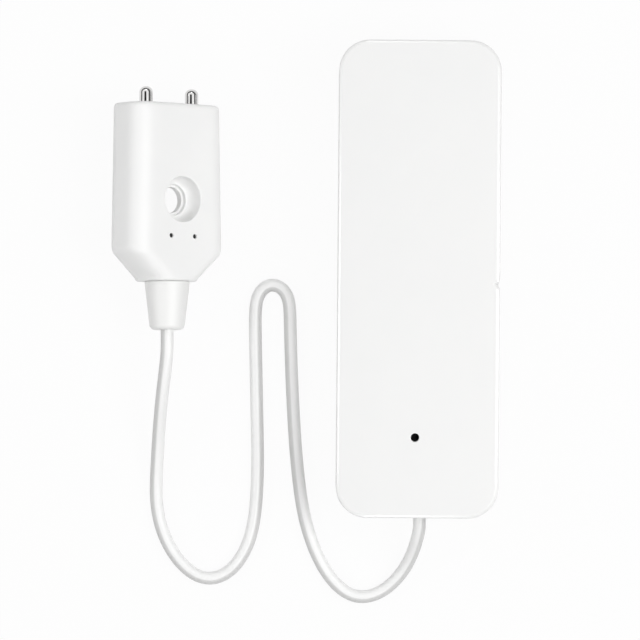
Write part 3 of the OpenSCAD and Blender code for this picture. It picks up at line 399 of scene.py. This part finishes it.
WHITE, WHITE_SHADE = (0.900, 0.900, 0.894), (0.888, 0.889, 0.885)
# painted shade: the case gets a darker copy of the probe's white plastic, for its face that takes more light
CASE_WHITE_PAINTED_DARKER, CASE_SHADE_PAINTED_DARKER = (0.850, 0.850, 0.845), (0.842, 0.843, 0.839)
# LEAD_PAINTED_SHADE is the grey of a band of painted shade down one side of the lead
LEAD_WHITE, LEAD_SHADE, LEAD_PAINTED_SHADE = (0.88, 0.88, 0.875), (0.865, 0.867, 0.862), (0.64, 0.64, 0.635)
MATERIALS = {
    # the case's colours carry painted shade, darker than the probe's white
    "case_plastic": moulded("case_plastic", CASE_WHITE_PAINTED_DARKER, CASE_SHADE_PAINTED_DARKER, gloss=(0.30, 0.34), specks=0.05,
                            Coat_Weight=0.5, Coat_Roughness=0.12),
    "probe_plastic": moulded("probe_plastic", WHITE, WHITE_SHADE, gloss=(0.46, 0.56), specks=0.05),
    "lead_rubber": moulded("lead_rubber", (0.86, 0.86, 0.85), (0.85, 0.85, 0.84), gloss=(0.36, 0.46),
                           grain=4000, specks=0.05),
    "lead_jacket": drawn_jacket("lead_jacket", LEAD_WHITE, LEAD_SHADE, LEAD_PAINTED_SHADE),
    "pin_chrome": plated("pin_chrome", (0.72, 0.715, 0.71), gloss=(0.04, 0.10), grain=(2000, 200, 2000)),
    "contact_rubber": moulded("contact_rubber", (0.012, 0.012, 0.013), (0.02, 0.02, 0.021),
                              gloss=(0.6, 0.8)),
    "board_resin": solder_mask("board_resin"),
    "chip_resin": moulded("chip_resin", (0.018, 0.018, 0.02), (0.026, 0.026, 0.028), gloss=(0.5, 0.65)),
    "tin_plate": plated("tin_plate", (0.66, 0.66, 0.67), gloss=(0.22, 0.36)),
    "antenna_copper": plated("antenna_copper", (0.83, 0.62, 0.32), gloss=(0.22, 0.36)),
    "capacitor_resin": moulded("capacitor_resin", (0.70, 0.42, 0.07), (0.62, 0.36, 0.06)),
    "small_part_ceramic": moulded("small_part_ceramic", (0.30, 0.22, 0.14), (0.22, 0.16, 0.10)),
    "led_base": moulded("led_base", (0.88, 0.88, 0.86), (0.84, 0.84, 0.82)),
    "led_lens": moulded("led_lens", (0.86, 0.88, 0.52), (0.82, 0.84, 0.46), gloss=(0.10, 0.2),
                        Subsurface_Weight=0.2, Subsurface_Scale=0.0003),
    "switch_plastic": moulded("switch_plastic", (0.012, 0.012, 0.013), (0.018, 0.018, 0.02),
                              gloss=(0.36, 0.5)),
    "screw_steel": plated("screw_steel", (0.60, 0.60, 0.62), gloss=(0.22, 0.36)),
    "connector_nylon": moulded("connector_nylon", (0.82, 0.80, 0.73), (0.79, 0.77, 0.70), gloss=(0.34, 0.46),
                               Subsurface_Weight=0.15, Subsurface_Scale=0.0005),
    "core_insulation": moulded("core_insulation", (0.52, 0.02, 0.02), (0.45, 0.015, 0.015),
                               gloss=(0.3, 0.4)),
    "tray_plastic": moulded("tray_plastic", (0.022, 0.022, 0.024), (0.03, 0.03, 0.032), gloss=(0.42, 0.56),
                            grain=3000, depth=0.00002),
    "contact_nickel": plated("contact_nickel", (0.70, 0.69, 0.66), gloss=(0.16, 0.3)),
    "cell_can": plated("cell_can", (0.68, 0.68, 0.69), gloss=(0.14, 0.26)),
    "cell_sleeve": printed_sleeve("cell_sleeve", (0.025, 0.07, 0.13), (0.72, 0.73, 0.74)),
}
BLACK_CORE = moulded("black_core", (0.015, 0.015, 0.016), (0.022, 0.022, 0.024), gloss=(0.3, 0.4))
for part in frame["record"]["subparts"]:
    mesh = frame["nodes"][part["node"]].data
    mesh.materials.clear()
    mesh.materials.append(MATERIALS[part["material_slot"]])


# Camera, light and floor

VIEW_X, VIEW_Y, VIEW_Z = -0.01513, -0.00641, 0.836
VIEW_LENS, VIEW_LEAN = 300.0, math.radians(0.48)
PANEL_DISTANCE = 0.5
PANELS = (("key", (0.54, -0.08, 0.84), 0.26, 0.85), ("right_panel", (0.85, 0, 0.53), 0.07, 0.18),
          ("left_panel", (-0.79, 0, 0.62), 0.08, 0.20), ("top_panel", (0, 0.82, 0.57), 0.06, 0.08),
          ("bottom_panel", (0, -0.81, 0.59), 0.06, 0.14))
DOME = ((0.12, 0.35), (0.26, 0.05), (0.50, 0.05), (0.60, 1.14), (0.92, 1.14), (0.96, 0.03), (1.0, 0.02))
DOME_LEAN = math.radians(10)
FLOOR_SIZE, FLOOR_DROP, FLOOR_GLOW, FLOOR_WHITE = 6.0, 0.00002, 0.94, 0.72


def add_camera():
    """A long lens straight over the part, as the photograph was taken."""
    camera = bpy.data.objects.new("camera", bpy.data.cameras.new("camera"))
    camera.data.lens = VIEW_LENS
    camera.data.clip_start, camera.data.clip_end = 0.01, 20.0
    camera.location = (VIEW_X, VIEW_Y, VIEW_Z)
    camera.rotation_euler = (0, 0, VIEW_LEAN)
    bpy.context.scene.collection.objects.link(camera)
    bpy.context.scene.camera = camera


def add_dome():
    """A pale dome about an axis that leans to the left: a dark cap, a bright wide ring, a dark belt and a
    dim horizon. DOME has the level at each cosine of the angle from the axis."""
    world = bpy.data.worlds.new("dome")
    bpy.context.scene.world = world
    world.use_nodes = True
    tree = world.node_tree
    direction = tree.nodes.new("ShaderNodeTexCoord").outputs["Generated"]
    axis = (-math.sin(DOME_LEAN), 0, math.cos(DOME_LEAN))
    height = add_node(tree, "ShaderNodeVectorMath", {0: direction, 1: axis}, operation="DOT_PRODUCT")
    ramp = add_node(tree, "ShaderNodeValToRGB", {"Fac": height.outputs["Value"]})
    stops = ramp.color_ramp.elements
    while len(stops) < len(DOME):
        stops.new(0.5)
    for stop, (place, level) in zip(stops, DOME):
        stop.position = place
        stop.color = (level, level, level, 1)
    tree.links.new(ramp.outputs[0], tree.nodes["Background"].inputs["Color"])


def add_panel(name, towards, size, power):
    """A soft square panel that faces the middle of the view from one side."""
    lamp = bpy.data.objects.new(name, bpy.data.lights.new(name, "AREA"))
    lamp.data.size = size
    lamp.data.energy = power
    away = np.array(towards) / np.linalg.norm(towards)
    lamp.location = np.array([VIEW_X, VIEW_Y, 0]) + PANEL_DISTANCE * away
    lamp.rotation_euler = Vector(away).to_track_quat("Z", "Y").to_euler()
    bpy.context.scene.collection.objects.link(lamp)


def add_floor():
    """A white floor: what the camera and reflections see of it is mostly plain white, with a faint
    shadow."""
    half = FLOOR_SIZE / 2
    mesh = bpy.data.meshes.new("floor")
    corners = [(-half, -half, -FLOOR_DROP), (half, -half, -FLOOR_DROP), (half, half, -FLOOR_DROP),
               (-half, half, -FLOOR_DROP)]
    mesh.from_pydata(corners, [], [(0, 1, 2, 3)])
    floor = bpy.data.objects.new("floor", mesh)
    bpy.context.scene.collection.objects.link(floor)
    material = bpy.data.materials.new("floor")
    material.use_nodes = True
    tree = material.node_tree
    tree.nodes.clear()
    paper = add_node(tree, "ShaderNodeBsdfDiffuse", {"Color": (FLOOR_WHITE, FLOOR_WHITE, FLOOR_WHITE, 1)})
    glow = add_node(tree, "ShaderNodeEmission", {"Color": (1, 1, 1, 1), "Strength": 1.0})
    path = tree.nodes.new("ShaderNodeLightPath")
    seen = path.outputs["Is Camera Ray"]
    for ray in ("Is Glossy Ray", "Is Transmission Ray"):
        either = {0: seen, 1: path.outputs[ray]}
        seen = add_node(tree, "ShaderNodeMath", either, operation="MAXIMUM").outputs[0]
    share = add_node(tree, "ShaderNodeMath", {0: seen, 1: FLOOR_GLOW}, operation="MULTIPLY").outputs[0]
    both = add_node(tree, "ShaderNodeMixShader", {0: share, 1: paper.outputs[0], 2: glow.outputs[0]})
    output = tree.nodes.new("ShaderNodeOutputMaterial")
    tree.links.new(both.outputs[0], output.inputs["Surface"])
    mesh.materials.append(material)


bpy.context.scene.view_settings.view_transform = "Standard"
add_camera()
add_dome()
for panel in PANELS:
    add_panel(*panel)
add_floor()


# Lead

STRAIGHT_OUT, STRAIGHT_IN = 2.2, 4.0
BOOT_END_Y = -PROBE_L / 2 - BOOT_L
LEAD_EXIT = np.array([EXIT_X, -CASE_L / 2, EXIT_Z])
LEAD_FREE = [
    (0.1, -41.2, 4.9), (-0.8, -43.8, 2.9), (-2.4, -46.5, 1.5), (-5, -49, 1.02), (-8.5, -50.1, 1.02),
    (-11.8, -48.6, 1.02), (-14.6, -44.9, 1.02), (-16.5, -40.4, 1.02), (-17.7, -35.9, 1.02),
    (-18.6, -29, 1.02), (-19.2, -21, 1.02), (-19.6, -13, 1.02), (-19.8, -6.5, 1.02), (-19.9, -3.4, 1.02),
    (-20.9, -1.5, 1.02), (-22.6, -0.8, 1.02), (-24.2, -1.5, 1.02), (-25.2, -3.4, 1.02), (-25.3, -6.5, 1.02),
    (-25.1, -13, 1.02), (-24.9, -21, 1.02), (-24.6, -30, 1.02), (-25, -38, 1.02), (-26.3, -42.5, 1.02),
    (-28.7, -46, 1.02), (-32, -47.4, 1.02), (-35.2, -46.2, 1.02), (-38, -43.1, 1.02), (-39.8, -39.2, 1.02),
    (-40.7, -34.8, 1.1), (-40.4, -28.5, 2.3), (-40, -22.5, 5.6), (-39.4, -17, 8.6)]


def lead_path():
    """Middle line of the free lead, from the case's bottom wall to the end of the strain relief."""
    out = np.array([0, STRAIGHT_OUT, 0])
    axis_y = BOOT_END_Y - np.array([STRAIGHT_IN, STRAIGHT_IN / 2, 0])
    end = on_probe(np.stack([0 * axis_y, axis_y, 0 * axis_y], axis=-1))
    return spline(np.vstack([LEAD_EXIT, LEAD_EXIT - out / 2, LEAD_EXIT - out, LEAD_FREE, end]), 16)


def add_lead():
    """The lead: a circle carried along its path."""
    path = lead_path()
    rings = tube_rings(path, LEAD_R, 24, (0, 0, 1))
    lead = add_piece("lead", rings, CASE, "lead_jacket", ["sensor_cable"], closed=False,
                     uv=along_and_round(rings))


add_lead()


# Front cover

def case_outline():
    """Corner centres and outward directions round the case: a point at a depth under the outer wall is its
    centre plus its direction times the corner's radius less that depth."""
    half_w, half_l = CASE_W / 2 - CORNER_R, CASE_L / 2 - CORNER_R
    notch = np.array([NOTCH_Y - 1.3 * NOTCH_DOWN, NOTCH_Y - NOTCH_DOWN, NOTCH_Y, NOTCH_Y + NOTCH_UP,
                      NOTCH_Y + 1.5 * NOTCH_UP])
    right_y = np.concatenate([np.linspace(-half_l, notch[0], 12)[1:-1], np.linspace(notch[0], notch[-1], 41),
                              np.linspace(notch[-1], half_l, 12)[1:-1]])
    left_y = np.linspace(half_l, -half_l, 26)[1:-1]
    end_x = np.linspace(-half_w, half_w, 14)[1:-1]
    turn = np.radians(np.linspace(0, 90, 19))

    def corner(x, y, start):
        a = turn + math.radians(start)
        return np.broadcast_to((x, y), (len(a), 2)), np.stack([np.cos(a), np.sin(a)], axis=-1)

    def side(x, y, normal):
        at = np.stack(np.broadcast_arrays(x, y), axis=-1)
        return at, np.broadcast_to(normal, at.shape)

    runs = [side(half_w, right_y, (1, 0)), corner(half_w, half_l, 0), side(end_x[::-1], half_l, (0, 1)),
            corner(-half_w, half_l, 90), side(-half_w, left_y, (-1, 0)), corner(-half_w, -half_l, 180),
            side(end_x, -half_l, (0, -1)), corner(half_w, -half_l, 270)]
    centres, directions = (np.vstack(part) for part in zip(*runs))
    return centres, directions


def notch_depths(centres, directions):
    """How far the pry notch reaches in at each point of the outline: a V on the right side, eased."""
    from_deepest = centres[:, 1] - NOTCH_Y
    v = 1 - np.where(from_deepest > 0, from_deepest / NOTCH_UP, -from_deepest / NOTCH_DOWN)
    ease = 0.08
    eased = (v + np.sqrt(v * v + ease * ease)) / 2 - ease / 4
    on_right = (directions[:, 0] == 1) & (np.abs(from_deepest) < 2 * NOTCH_DOWN)
    return np.where(on_right, NOTCH_DEPTH * np.clip(eased, 0, None), 0.0)


def face_edge():
    """Section of the face's edge, as depth under the outer wall and height: a small round, a narrow chamfer
    and an easing round that runs into the face."""
    lean = FACE_CHAMFER_LEAN
    drop = FACE_EDGE_R * math.cos(lean) + FACE_CHAMFER * math.sin(lean) + FACE_EASE_R * (1 - math.cos(lean))
    corner = arc(FACE_EDGE_R, FACE_Z - drop, FACE_EDGE_R, 180, 90 + math.degrees(lean), 8)
    top = corner[-1] + FACE_CHAMFER * np.array([math.cos(lean), math.sin(lean)])
    middle = top + FACE_EASE_R * np.array([math.sin(lean), -math.cos(lean)])
    along = corner[-1] + np.array([[0.04], [0.96]]) * (top - corner[-1])
    return np.vstack([corner, along, arc(*middle, FACE_EASE_R, 90 + math.degrees(lean), 90, 5)])


def add_cover():
    """The cover's section carried round the case and back through the pinhole and its guide tube."""
    centres, directions = case_outline()
    notch = notch_depths(centres, directions)
    hole = np.array([PINHOLE_X, PINHOLE_Y])
    bearing = centres + CORNER_R * directions - hole
    bearing /= np.linalg.norm(bearing, axis=1, keepdims=True)
    ceiling = FACE_Z - FACE_WALL

    def walls(section, notched):
        depth, height = section.T
        inset = depth[:, None] + (notch if notched else np.zeros_like(notch))
        flat = centres + (CORNER_R - inset)[..., None] * directions
        return np.concatenate([flat, np.broadcast_to(height[:, None, None], (*inset.shape, 1))], axis=-1)

    def circles(section):
        radius, height = section.T
        flat = hole + radius[:, None, None] * bearing
        return np.concatenate([flat, np.broadcast_to(height[:, None, None], (*flat.shape[:2], 1))], axis=-1)

    def between(first, last, shares):
        share = np.array(shares)[:, None, None]
        return first * (1 - share) + last * share

    guide_r, soft = PINHOLE_R + GUIDE_WALL, SOFT_EDGE
    shelf_z = LIP_TOP + SHELF_CLEAR
    pinhole = circles(np.vstack([
        arc(PINHOLE_R + soft, FACE_Z - soft, soft, 90, 180, 4),
        [[PINHOLE_R, ceiling], [PINHOLE_R, GUIDE_Z + soft / 2]],
        [[PINHOLE_R + soft / 2, GUIDE_Z], [guide_r - soft, GUIDE_Z], [guide_r, GUIDE_Z + soft]],
        arc(guide_r + INNER_FILLET, ceiling - INNER_FILLET, INNER_FILLET, 180, 90, 4)]))
    inside = walls(np.vstack([
        arc(SIDE_WALL + INNER_FILLET, ceiling - INNER_FILLET, INNER_FILLET, 90, 180, 4),
        [[SIDE_WALL, shelf_z + soft], [SIDE_WALL - soft, shelf_z], [SKIRT_T + SHELF_SOFT, shelf_z]],
        [[SKIRT_T, shelf_z - SHELF_SOFT], [SKIRT_T, SEAM_Z + soft], [SKIRT_T - soft, SEAM_Z]]]), False)
    edge = face_edge()
    hold_side, hold_face = [[0, 0.6], [0, 0.05]], [[0.06, 0]]
    outside = walls(np.vstack([
        arc(soft, SEAM_Z + soft, soft, 270, 180, 4),
        edge[:1] - hold_side,
        edge,
        edge[-1:] + hold_face]), True)
    past_notch = walls(np.array([[edge[-1, 0] + NOTCH_DEPTH + 0.6, FACE_Z]]), False)
    face = between(past_notch[0], pinhole[0], (0, 0.25, 0.5, 0.75, 0.92, 0.985))
    ceiling_rings = between(pinhole[-1], inside[0], (0.02, 0.3, 0.6, 0.97))
    rings = np.concatenate([pinhole, ceiling_rings, inside, outside, face])
    add_piece("cover", rings, COVER, "case_plastic", ["front_cover"])


def add_cover_rib():
    """The rib under the face that holds the cells down: a bar, round in plan, with a soft lower edge."""
    ceiling = FACE_Z - FACE_WALL
    low = ceiling - RIB_H
    corner, soft = RIB_CORNER_R, SOFT_EDGE
    section = np.vstack([[[0, ceiling + RIB_SUNK]], arc(soft, low + soft, soft, 180, 270, 4)])
    a = np.radians(np.concatenate([np.linspace(q, q + 90, 7) for q in (0, 90, 180, 270)]))
    way = np.stack([np.cos(a), np.sin(a)], axis=-1)
    centre = np.array([0, RIB_Y]) + np.repeat([(1, 1), (-1, 1), (-1, -1), (1, -1)], 7, axis=0) * (
        RIB_T / 2 - corner, RIB_L / 2 - corner)
    flat = centre + (corner - section[:, 0])[:, None, None] * way
    height = np.broadcast_to(section[:, 1, None, None], (*flat.shape[:2], 1))
    add_piece("cover_rib", np.concatenate([flat, height], axis=-1), COVER, "case_plastic", ["front_cover"],
              closed=False)


add_cover()
add_cover_rib()


# Probe

def probe_slice(height):
    """Dense outline of the probe at a height over its middle plane: the width at each place along its axis,
    less what the round long edge and the rounded ends take off at that height. The back's edges are circles
    and the front's are superellipses, which run into the flat faces without a line."""
    edge_r, ease = (PROBE_FACE_R, PROBE_FACE_EASE) if height > 0 else (PROBE_BACK_R, 2)
    into_edge = max(abs(height) - (PROBE_T / 2 - edge_r), 0.0)
    left_over = edge_r - into_edge
    slope = math.atan2((PROBE_W - TIP_W) / 2, TAPER_L)
    tip_y, top_y = TIP_EDGE_R - PROBE_L / 2, PROBE_L / 2 - PROBE_EDGE_R
    tip_in = (PROBE_W - TIP_W) / 2 - TIP_EDGE_R * math.tan(slope)
    top = np.linspace(math.acos(1 - min(PROBE_EDGE_R, left_over) / PROBE_EDGE_R), 0, 60)
    knee = np.linspace(0, slope, 60)
    tip = np.linspace(0, math.acos(1 - min(TIP_EDGE_R, left_over) / TIP_EDGE_R), 40)
    top_in, knee_in, tip_round = (radius * (1 - np.cos(turn)) for radius, turn in (
        (PROBE_EDGE_R, top), (TAPER_R, knee), (TIP_EDGE_R, tip)))
    knee_y = TAPER_L - PROBE_L / 2 + TAPER_R * (math.tan(slope / 2) - np.sin(knee))
    side_y = np.linspace(top_y, knee_y[0], 400)[1:-1]
    side_in = np.linspace(PROBE_DRAFT, 0, 400)[1:-1]
    taper_y = np.linspace(knee_y[-1], tip_y, 80)[1:-1]
    taper_in = np.linspace(knee_in[-1], tip_in, 80)[1:-1]
    y = np.concatenate([top_y + PROBE_EDGE_R * np.sin(top), side_y, knee_y, taper_y,
                        tip_y - TIP_EDGE_R * np.sin(tip)])
    across_in = np.concatenate([PROBE_DRAFT + top_in, side_in, knee_in, taper_in, tip_in + tip_round])
    radius = edge_r - np.concatenate([top_in, 0 * side_in, 0 * knee_in, 0 * taper_in, tip_round])
    x = PROBE_W / 2 - across_in - radius + np.clip(radius**ease - into_edge**ease, 0, None) ** (1 / ease)
    right = np.stack([x, y], axis=-1)
    left = right[::-1] * (-1, 1)
    across = np.linspace(0, 1, 200)[1:-1, None]
    low, high = right[-1] + across * (left[0] - right[-1]), left[-1] + across * (right[0] - left[-1])
    return np.vstack([right, low, left, high])


def pocket_outline():
    """Dense outline of the pocket behind the front: a rectangle with small round corners."""
    half_l = (POCKET_HIGH_Y - POCKET_LOW_Y) / 2
    middle = (POCKET_HIGH_Y + POCKET_LOW_Y) / 2
    corners = [arc(sx * (POCKET_HALF_W - POCKET_R), sy * (half_l - POCKET_R) + middle, POCKET_R, a, a + 90)
               for sx, sy, a in ((1, 1, 0), (-1, 1, 90), (-1, -1, 180), (1, -1, 270))]
    loop = np.vstack(corners)
    share = np.linspace(0, 1, 60, endpoint=False)[None, :, None]
    return (loop[:, None] * (1 - share) + np.roll(loop, -1, axis=0)[:, None] * share).reshape(-1, 2)


def seen_from_hole(outline, bearings):
    """How far a closed outline lies from the screw hole's axis along each bearing."""
    across, up = outline[:, 0], outline[:, 1] - HOLE_Y
    bearing = np.arctan2(up, across)
    order = np.argsort(bearing)
    return np.interp(bearings, bearing[order], np.hypot(across, up)[order], period=2 * np.pi)


def hole_bearings():
    """Bearings round the screw hole, closer together where the outline turns at the probe's corners."""
    pocket = [math.degrees(math.atan2(y - HOLE_Y, POCKET_HALF_W)) for y in (POCKET_LOW_Y, POCKET_HIGH_Y)]
    right = np.concatenate([np.arange(-90, 90, 2.5), np.arange(56, 70, 0.5), np.arange(-58, -36, 1.0),
                            np.arange(-88, -66, 0.7), pocket])
    return np.radians(np.unique(np.round(np.concatenate([right, 180 - right]) % 360, 3)))


def add_probe_shell():
    """The shell as one closed set of rings round the screw hole: back face, slices of the outside from back
    to front, front face, stepped hole, web, relief, boss and pocket."""
    bearings = hole_bearings()
    cosine, sine = np.cos(bearings), np.sin(bearings)
    half_t = PROBE_T / 2

    def ring(distance, height):
        return np.stack(np.broadcast_arrays(distance * cosine, HOLE_Y + distance * sine, height), axis=-1)

    def circles(section):
        return [ring(np.full_like(bearings, radius), height) for radius, height in section]

    def between(first, last, shares):
        return [first * (1 - s) + last * s for s in shares]

    def relief(height):
        return np.interp(height, [-half_t, WEB_Z], [RELIEF_BACK_R, RELIEF_WEB_R])

    rise = np.sin(np.radians(np.linspace(0, 90, 25)))
    back_heights, face_heights = (half_t - radius + radius * rise ** (2 / ease) for radius, ease in (
        (PROBE_BACK_R, 2), (PROBE_FACE_R, PROBE_FACE_EASE)))
    heights = np.concatenate([-back_heights[::-1], [-0.5], face_heights[face_heights > 0.1]])
    outside = [ring(seen_from_hole(probe_slice(z), bearings), z) for z in heights]
    pocket = seen_from_hole(pocket_outline(), bearings)
    soft = SOFT_EDGE
    boss_r = max(SEAT_R, relief(BOSS_FOOT_Z)) + BOSS_WALL
    fillet = np.array([SEAT_FILLET_W, SEAT_FILLET_H])
    hole = circles(np.vstack([
        arc(SEAT_R + SEAT_RIM, half_t - SEAT_RIM, SEAT_RIM, 90, 180, 6),
        (SEAT_R, SEAT_Z) + fillet * (-1, 1) + fillet * arc(0, 0, 1, 0, -90, 10),
        arc(STEP_R + HOLE_EDGE, SEAT_Z - HOLE_EDGE, HOLE_EDGE, 90, 180, 3),
        [[STEP_R, STEP_Z + HOLE_EDGE], [STEP_R - HOLE_EDGE, STEP_Z]],
        arc(SCREW_HOLE_R + HOLE_EDGE, STEP_Z - HOLE_EDGE, HOLE_EDGE, 90, 180, 3),
        [[SCREW_HOLE_R, WEB_Z + HOLE_EDGE], [SCREW_HOLE_R + HOLE_EDGE, WEB_Z], [RELIEF_WEB_R, WEB_Z]],
        [[relief(BACK_PLATE_Z), BACK_PLATE_Z], [relief(BACK_PLATE_Z) + BOSS_WALL, BACK_PLATE_Z]],
        [[boss_r, BOSS_FOOT_Z], [boss_r, POCKET_Z]]]))
    front = between(outside[-1], hole[0], (0.03, 0.35, 0.65, 0.9, 0.985))
    inner = [ring(pocket, POCKET_Z), ring(pocket, soft - half_t), ring(pocket + soft, -half_t)]
    back = between(inner[-1], outside[0], (0.06, 0.94))
    rings = on_probe(np.array(outside + front + hole + inner + back))
    shell = add_piece("probe_body", rings, CASE, "probe_plastic", ["probe_shell"])
    for side in (-1, 1):
        drill_face(shell, side * FACE_HOLE_X)


def drill_face(piece, x):
    """Drills a face contact's blind hole, for good: a cylinder through the front is taken away from the
    piece."""
    a = np.linspace(0, 2 * np.pi, 40, endpoint=False)
    across, up = x + FACE_HOLE_R * np.cos(a), FACE_HOLE_Y + FACE_HOLE_R * np.sin(a)
    rings = [np.stack(np.broadcast_arrays(across, up, PROBE_T / 2 + out), axis=-1)
             for out in (-FACE_HOLE_DEPTH, FACE_HOLE_DEPTH)]
    points = on_probe(np.array(rings)).reshape(-1, 3) * MM
    first = np.arange(len(a))
    faces = ring_quads(2, len(a), False).tolist() + [first[::-1].tolist(), (first + len(a)).tolist()]
    mesh = bpy.data.meshes.new("cutter")
    mesh.from_pydata(points.tolist(), [], faces)
    cutter = bpy.data.objects.new("cutter", mesh)
    bpy.context.scene.collection.objects.link(cutter)
    modifier = piece.modifiers.new("drill", "BOOLEAN")
    modifier.object = cutter
    modifier.solver = "EXACT"
    bpy.context.view_layer.update()
    drilled = bpy.data.meshes.new_from_object(piece.evaluated_get(bpy.context.evaluated_depsgraph_get()))
    piece.modifiers.clear()
    piece.data = drilled
    bpy.data.objects.remove(cutter)
    bpy.data.meshes.remove(mesh)


def add_strain_relief():
    """The strain relief turned about the probe's axis: a cone with a round end, a shadow groove at the shell
    and a neck inside it."""
    base_y, neck_y = -PROBE_L / 2, TAPER_L - PROBE_L / 2
    bore, seat_y = LEAD_R + BOOT_GAP, base_y - BOOT_GAP
    profile = np.vstack([
        [[bore, BOOT_END_Y + BOOT_MOUTH_L], [bore + BOOT_MOUTH_W, BOOT_END_Y]],
        arc(BOOT_TIP_R - BOOT_EDGE_R, BOOT_END_Y + BOOT_EDGE_R, BOOT_EDGE_R, 270, 354, 8),
        [[BOOT_BASE_R - BOOT_GAP, base_y - BOOT_RIM]],
        arc(BOOT_BASE_R - BOOT_GROOVE, seat_y - BOOT_GROOVE, BOOT_GROOVE, 0, 90, 4),
        [[BOOT_NECK_R, seat_y], [BOOT_NECK_R, neck_y], [bore, neck_y]]])
    add_piece("boot", on_probe(turned_rings(profile, 96)), CASE, "lead_rubber", ["strain_relief"])


def add_pins():
    """Each sensing pin turned about its own axis: a round end, a straight shank, a flange behind the wall
    and a tail."""
    base_y, tip_y = PROBE_L / 2, PROBE_L / 2 + PIN_OUT
    flange_y = base_y - PIN_WALL
    back_y = flange_y - PIN_FLANGE_T
    tail_y = back_y - PIN_TAIL_L
    profile = np.vstack([
        [[POLE_R, tail_y], [PIN_TAIL_R, tail_y], [PIN_TAIL_R, back_y], [PIN_FLANGE_R, back_y]],
        [[PIN_FLANGE_R, flange_y], [PIN_R, flange_y], [PIN_R, base_y - PIN_FOOT]],
        arc(PIN_R - PIN_ROUND, tip_y - PIN_ROUND, PIN_ROUND, 0, 88, 12),
        [[POLE_R, tip_y]]])
    for name, node, x in (("pin_left", "probe_pin_1", -PIN_X), ("pin_right", "probe_pin_2", PIN_X)):
        rings = on_probe(turned_rings(profile, 64, (x, PIN_Z)))
        add_piece(name, rings, CASE, "pin_chrome", [node], closed=False)


add_probe_shell()
add_strain_relief()
add_pins()


# Inside the case

def spring_rings(x, plate_y, towards):
    """A contact spring: a wire wound evenly from its wide turn at the plate to its narrow turn at the
    cell."""
    t = np.linspace(0, 1, SPRING_TURNS * 32 + 1)
    a = 2 * np.pi * SPRING_TURNS * t
    radius = SPRING_BASE_R + (SPRING_TIP_R - SPRING_BASE_R) * t
    y = plate_y + towards * (SPRING_WIRE / 2 + (SPRING_L - SPRING_WIRE) * t)
    path = np.stack([x + radius * np.cos(a), y, CELL_Z + radius * np.sin(a)], axis=-1)
    return tube_rings(path, SPRING_WIRE / 2, 14, (0, 1, 0))


def add_springs():
    """The spring of the bridge contact and the spring of the negative contact, each on its plate."""
    high_y, low_y = box_mm("bridge_contact")[0][1], box_mm("negative_contact")[1][1]
    for name, node, x, plate_y, towards in (("spring_at_bridge", "bridge_spring", -CELL_X, high_y, -1),
                                            ("spring_at_negative", "negative_spring", CELL_X, low_y, 1)):
        add_piece(name, spring_rings(x, plate_y, towards), CASE, "contact_nickel", [node], closed=False)


def add_core_wires():
    """The lead's two cores, which leave its end side by side and turn into the plug."""
    start_y, straight = box_mm("cable_end_case")[1][1], 0.2
    plug_y, plug_z = (PLUG_LO[1] + PLUG_HI[1]) / 2, (PLUG_LO[2] + PLUG_HI[2]) / 2
    rows = (("core_black", 0.5, 1.0, 1.8, BLACK_CORE), ("core_red", -0.5, 2.0, 2.2, None))
    for name, side, lift_off, run_in, other in rows:
        leave = np.array([EXIT_X + side * CORE_PITCH, start_y, EXIT_Z])
        reach = np.array([PLUG_LO[0], plug_y - side * PLUG_PITCH, plug_z])
        first, last = leave + (0, straight, 0), reach - (straight, 0, 0)
        middle = bend(first, first + (0, lift_off, 0), last - (run_in, 0, 0), last, 40)
        rings = tube_rings(np.vstack([leave, middle, reach]), CORE_R, 20, (0, 0, 1))
        core = add_piece(name, rings, CASE, "core_insulation", ["core_wires"], closed=False)
        if other:
            core.data.materials[0] = other


def cell_profile():
    """A cell's can: flat end with a stepped disc, round edges, a crimped shoulder and the positive nub."""
    edge, nub_edge = CAN_EDGE_R, NUB_EDGE_R
    seal_y = CAN_L - CRIMP_DEPTH
    return np.vstack([
        [[POLE_R, DISC_DEPTH], [DISC_R, DISC_DEPTH], [DISC_R + DISC_SLOPE, DISC_DEPTH - DISC_SLOPE]],
        arc(CAN_R - edge, edge, edge, -88, 0, 6),
        arc(CAN_R - edge, CAN_L - edge, edge, 0, 90, 6),
        [[CRIMP_R, CAN_L], [CRIMP_R - CRIMP_SLOPE, seal_y], [SEAL_R, seal_y]],
        [[SEAL_R - SEAL_SLOPE, CAN_L - 0.05], [NUB_R + 0.15, CAN_L - 0.02], [NUB_R, CAN_L + 0.15]],
        arc(NUB_R - nub_edge, CELL_L - nub_edge, nub_edge, 0, 90, 5),
        [[POLE_R, CELL_L]]])


def sleeve_profile():
    """A cell's sleeve: a thin film whose ends turn in over the can's edges."""
    low, high, half = SLEEVE_RIM, CAN_L - SLEEVE_RIM, SLEEVE_T / 2
    inner, middle = CELL_R - SLEEVE_T, CELL_R - half
    return np.vstack([
        [[inner, low + SLEEVE_HEM]],
        arc(middle, low + half, half, 200, 360, 5),
        arc(middle, high - half, half, 0, 160, 5),
        [[inner, high - SLEEVE_HEM]]])


def add_cells():
    """Two cells side by side, the first with its nub towards the lead's end and the second the other way."""
    low_y, high_y = box_mm("battery_cell_1")[0][1], box_mm("battery_cell_2")[1][1]
    rows = (("1", -CELL_X, low_y + CELL_L, -1), ("2", CELL_X, high_y - CELL_L, 1))
    kinds = (("cell_can", cell_profile(), "battery_cell", False),
             ("cell_sleeve", sleeve_profile(), "battery_sleeve", True))
    sides = 96
    for number, x, flat_y, way in rows:
        for slot, profile, node, closed in kinds:
            placed = np.stack([profile[:, 0], flat_y + way * profile[:, 1]], axis=-1)
            rings = turned_rings(placed, sides, (x, CELL_Z))
            along_and_turn = np.meshgrid(profile[:, 1] * MM, np.linspace(0, 1, sides + 1), indexing="ij")
            add_piece(f"{slot}_{number}", rings, CASE, slot, [f"{node}_{number}"], closed=closed,
                      uv=np.stack(along_and_turn, axis=-1))


add_springs()
add_core_wires()
add_cells()
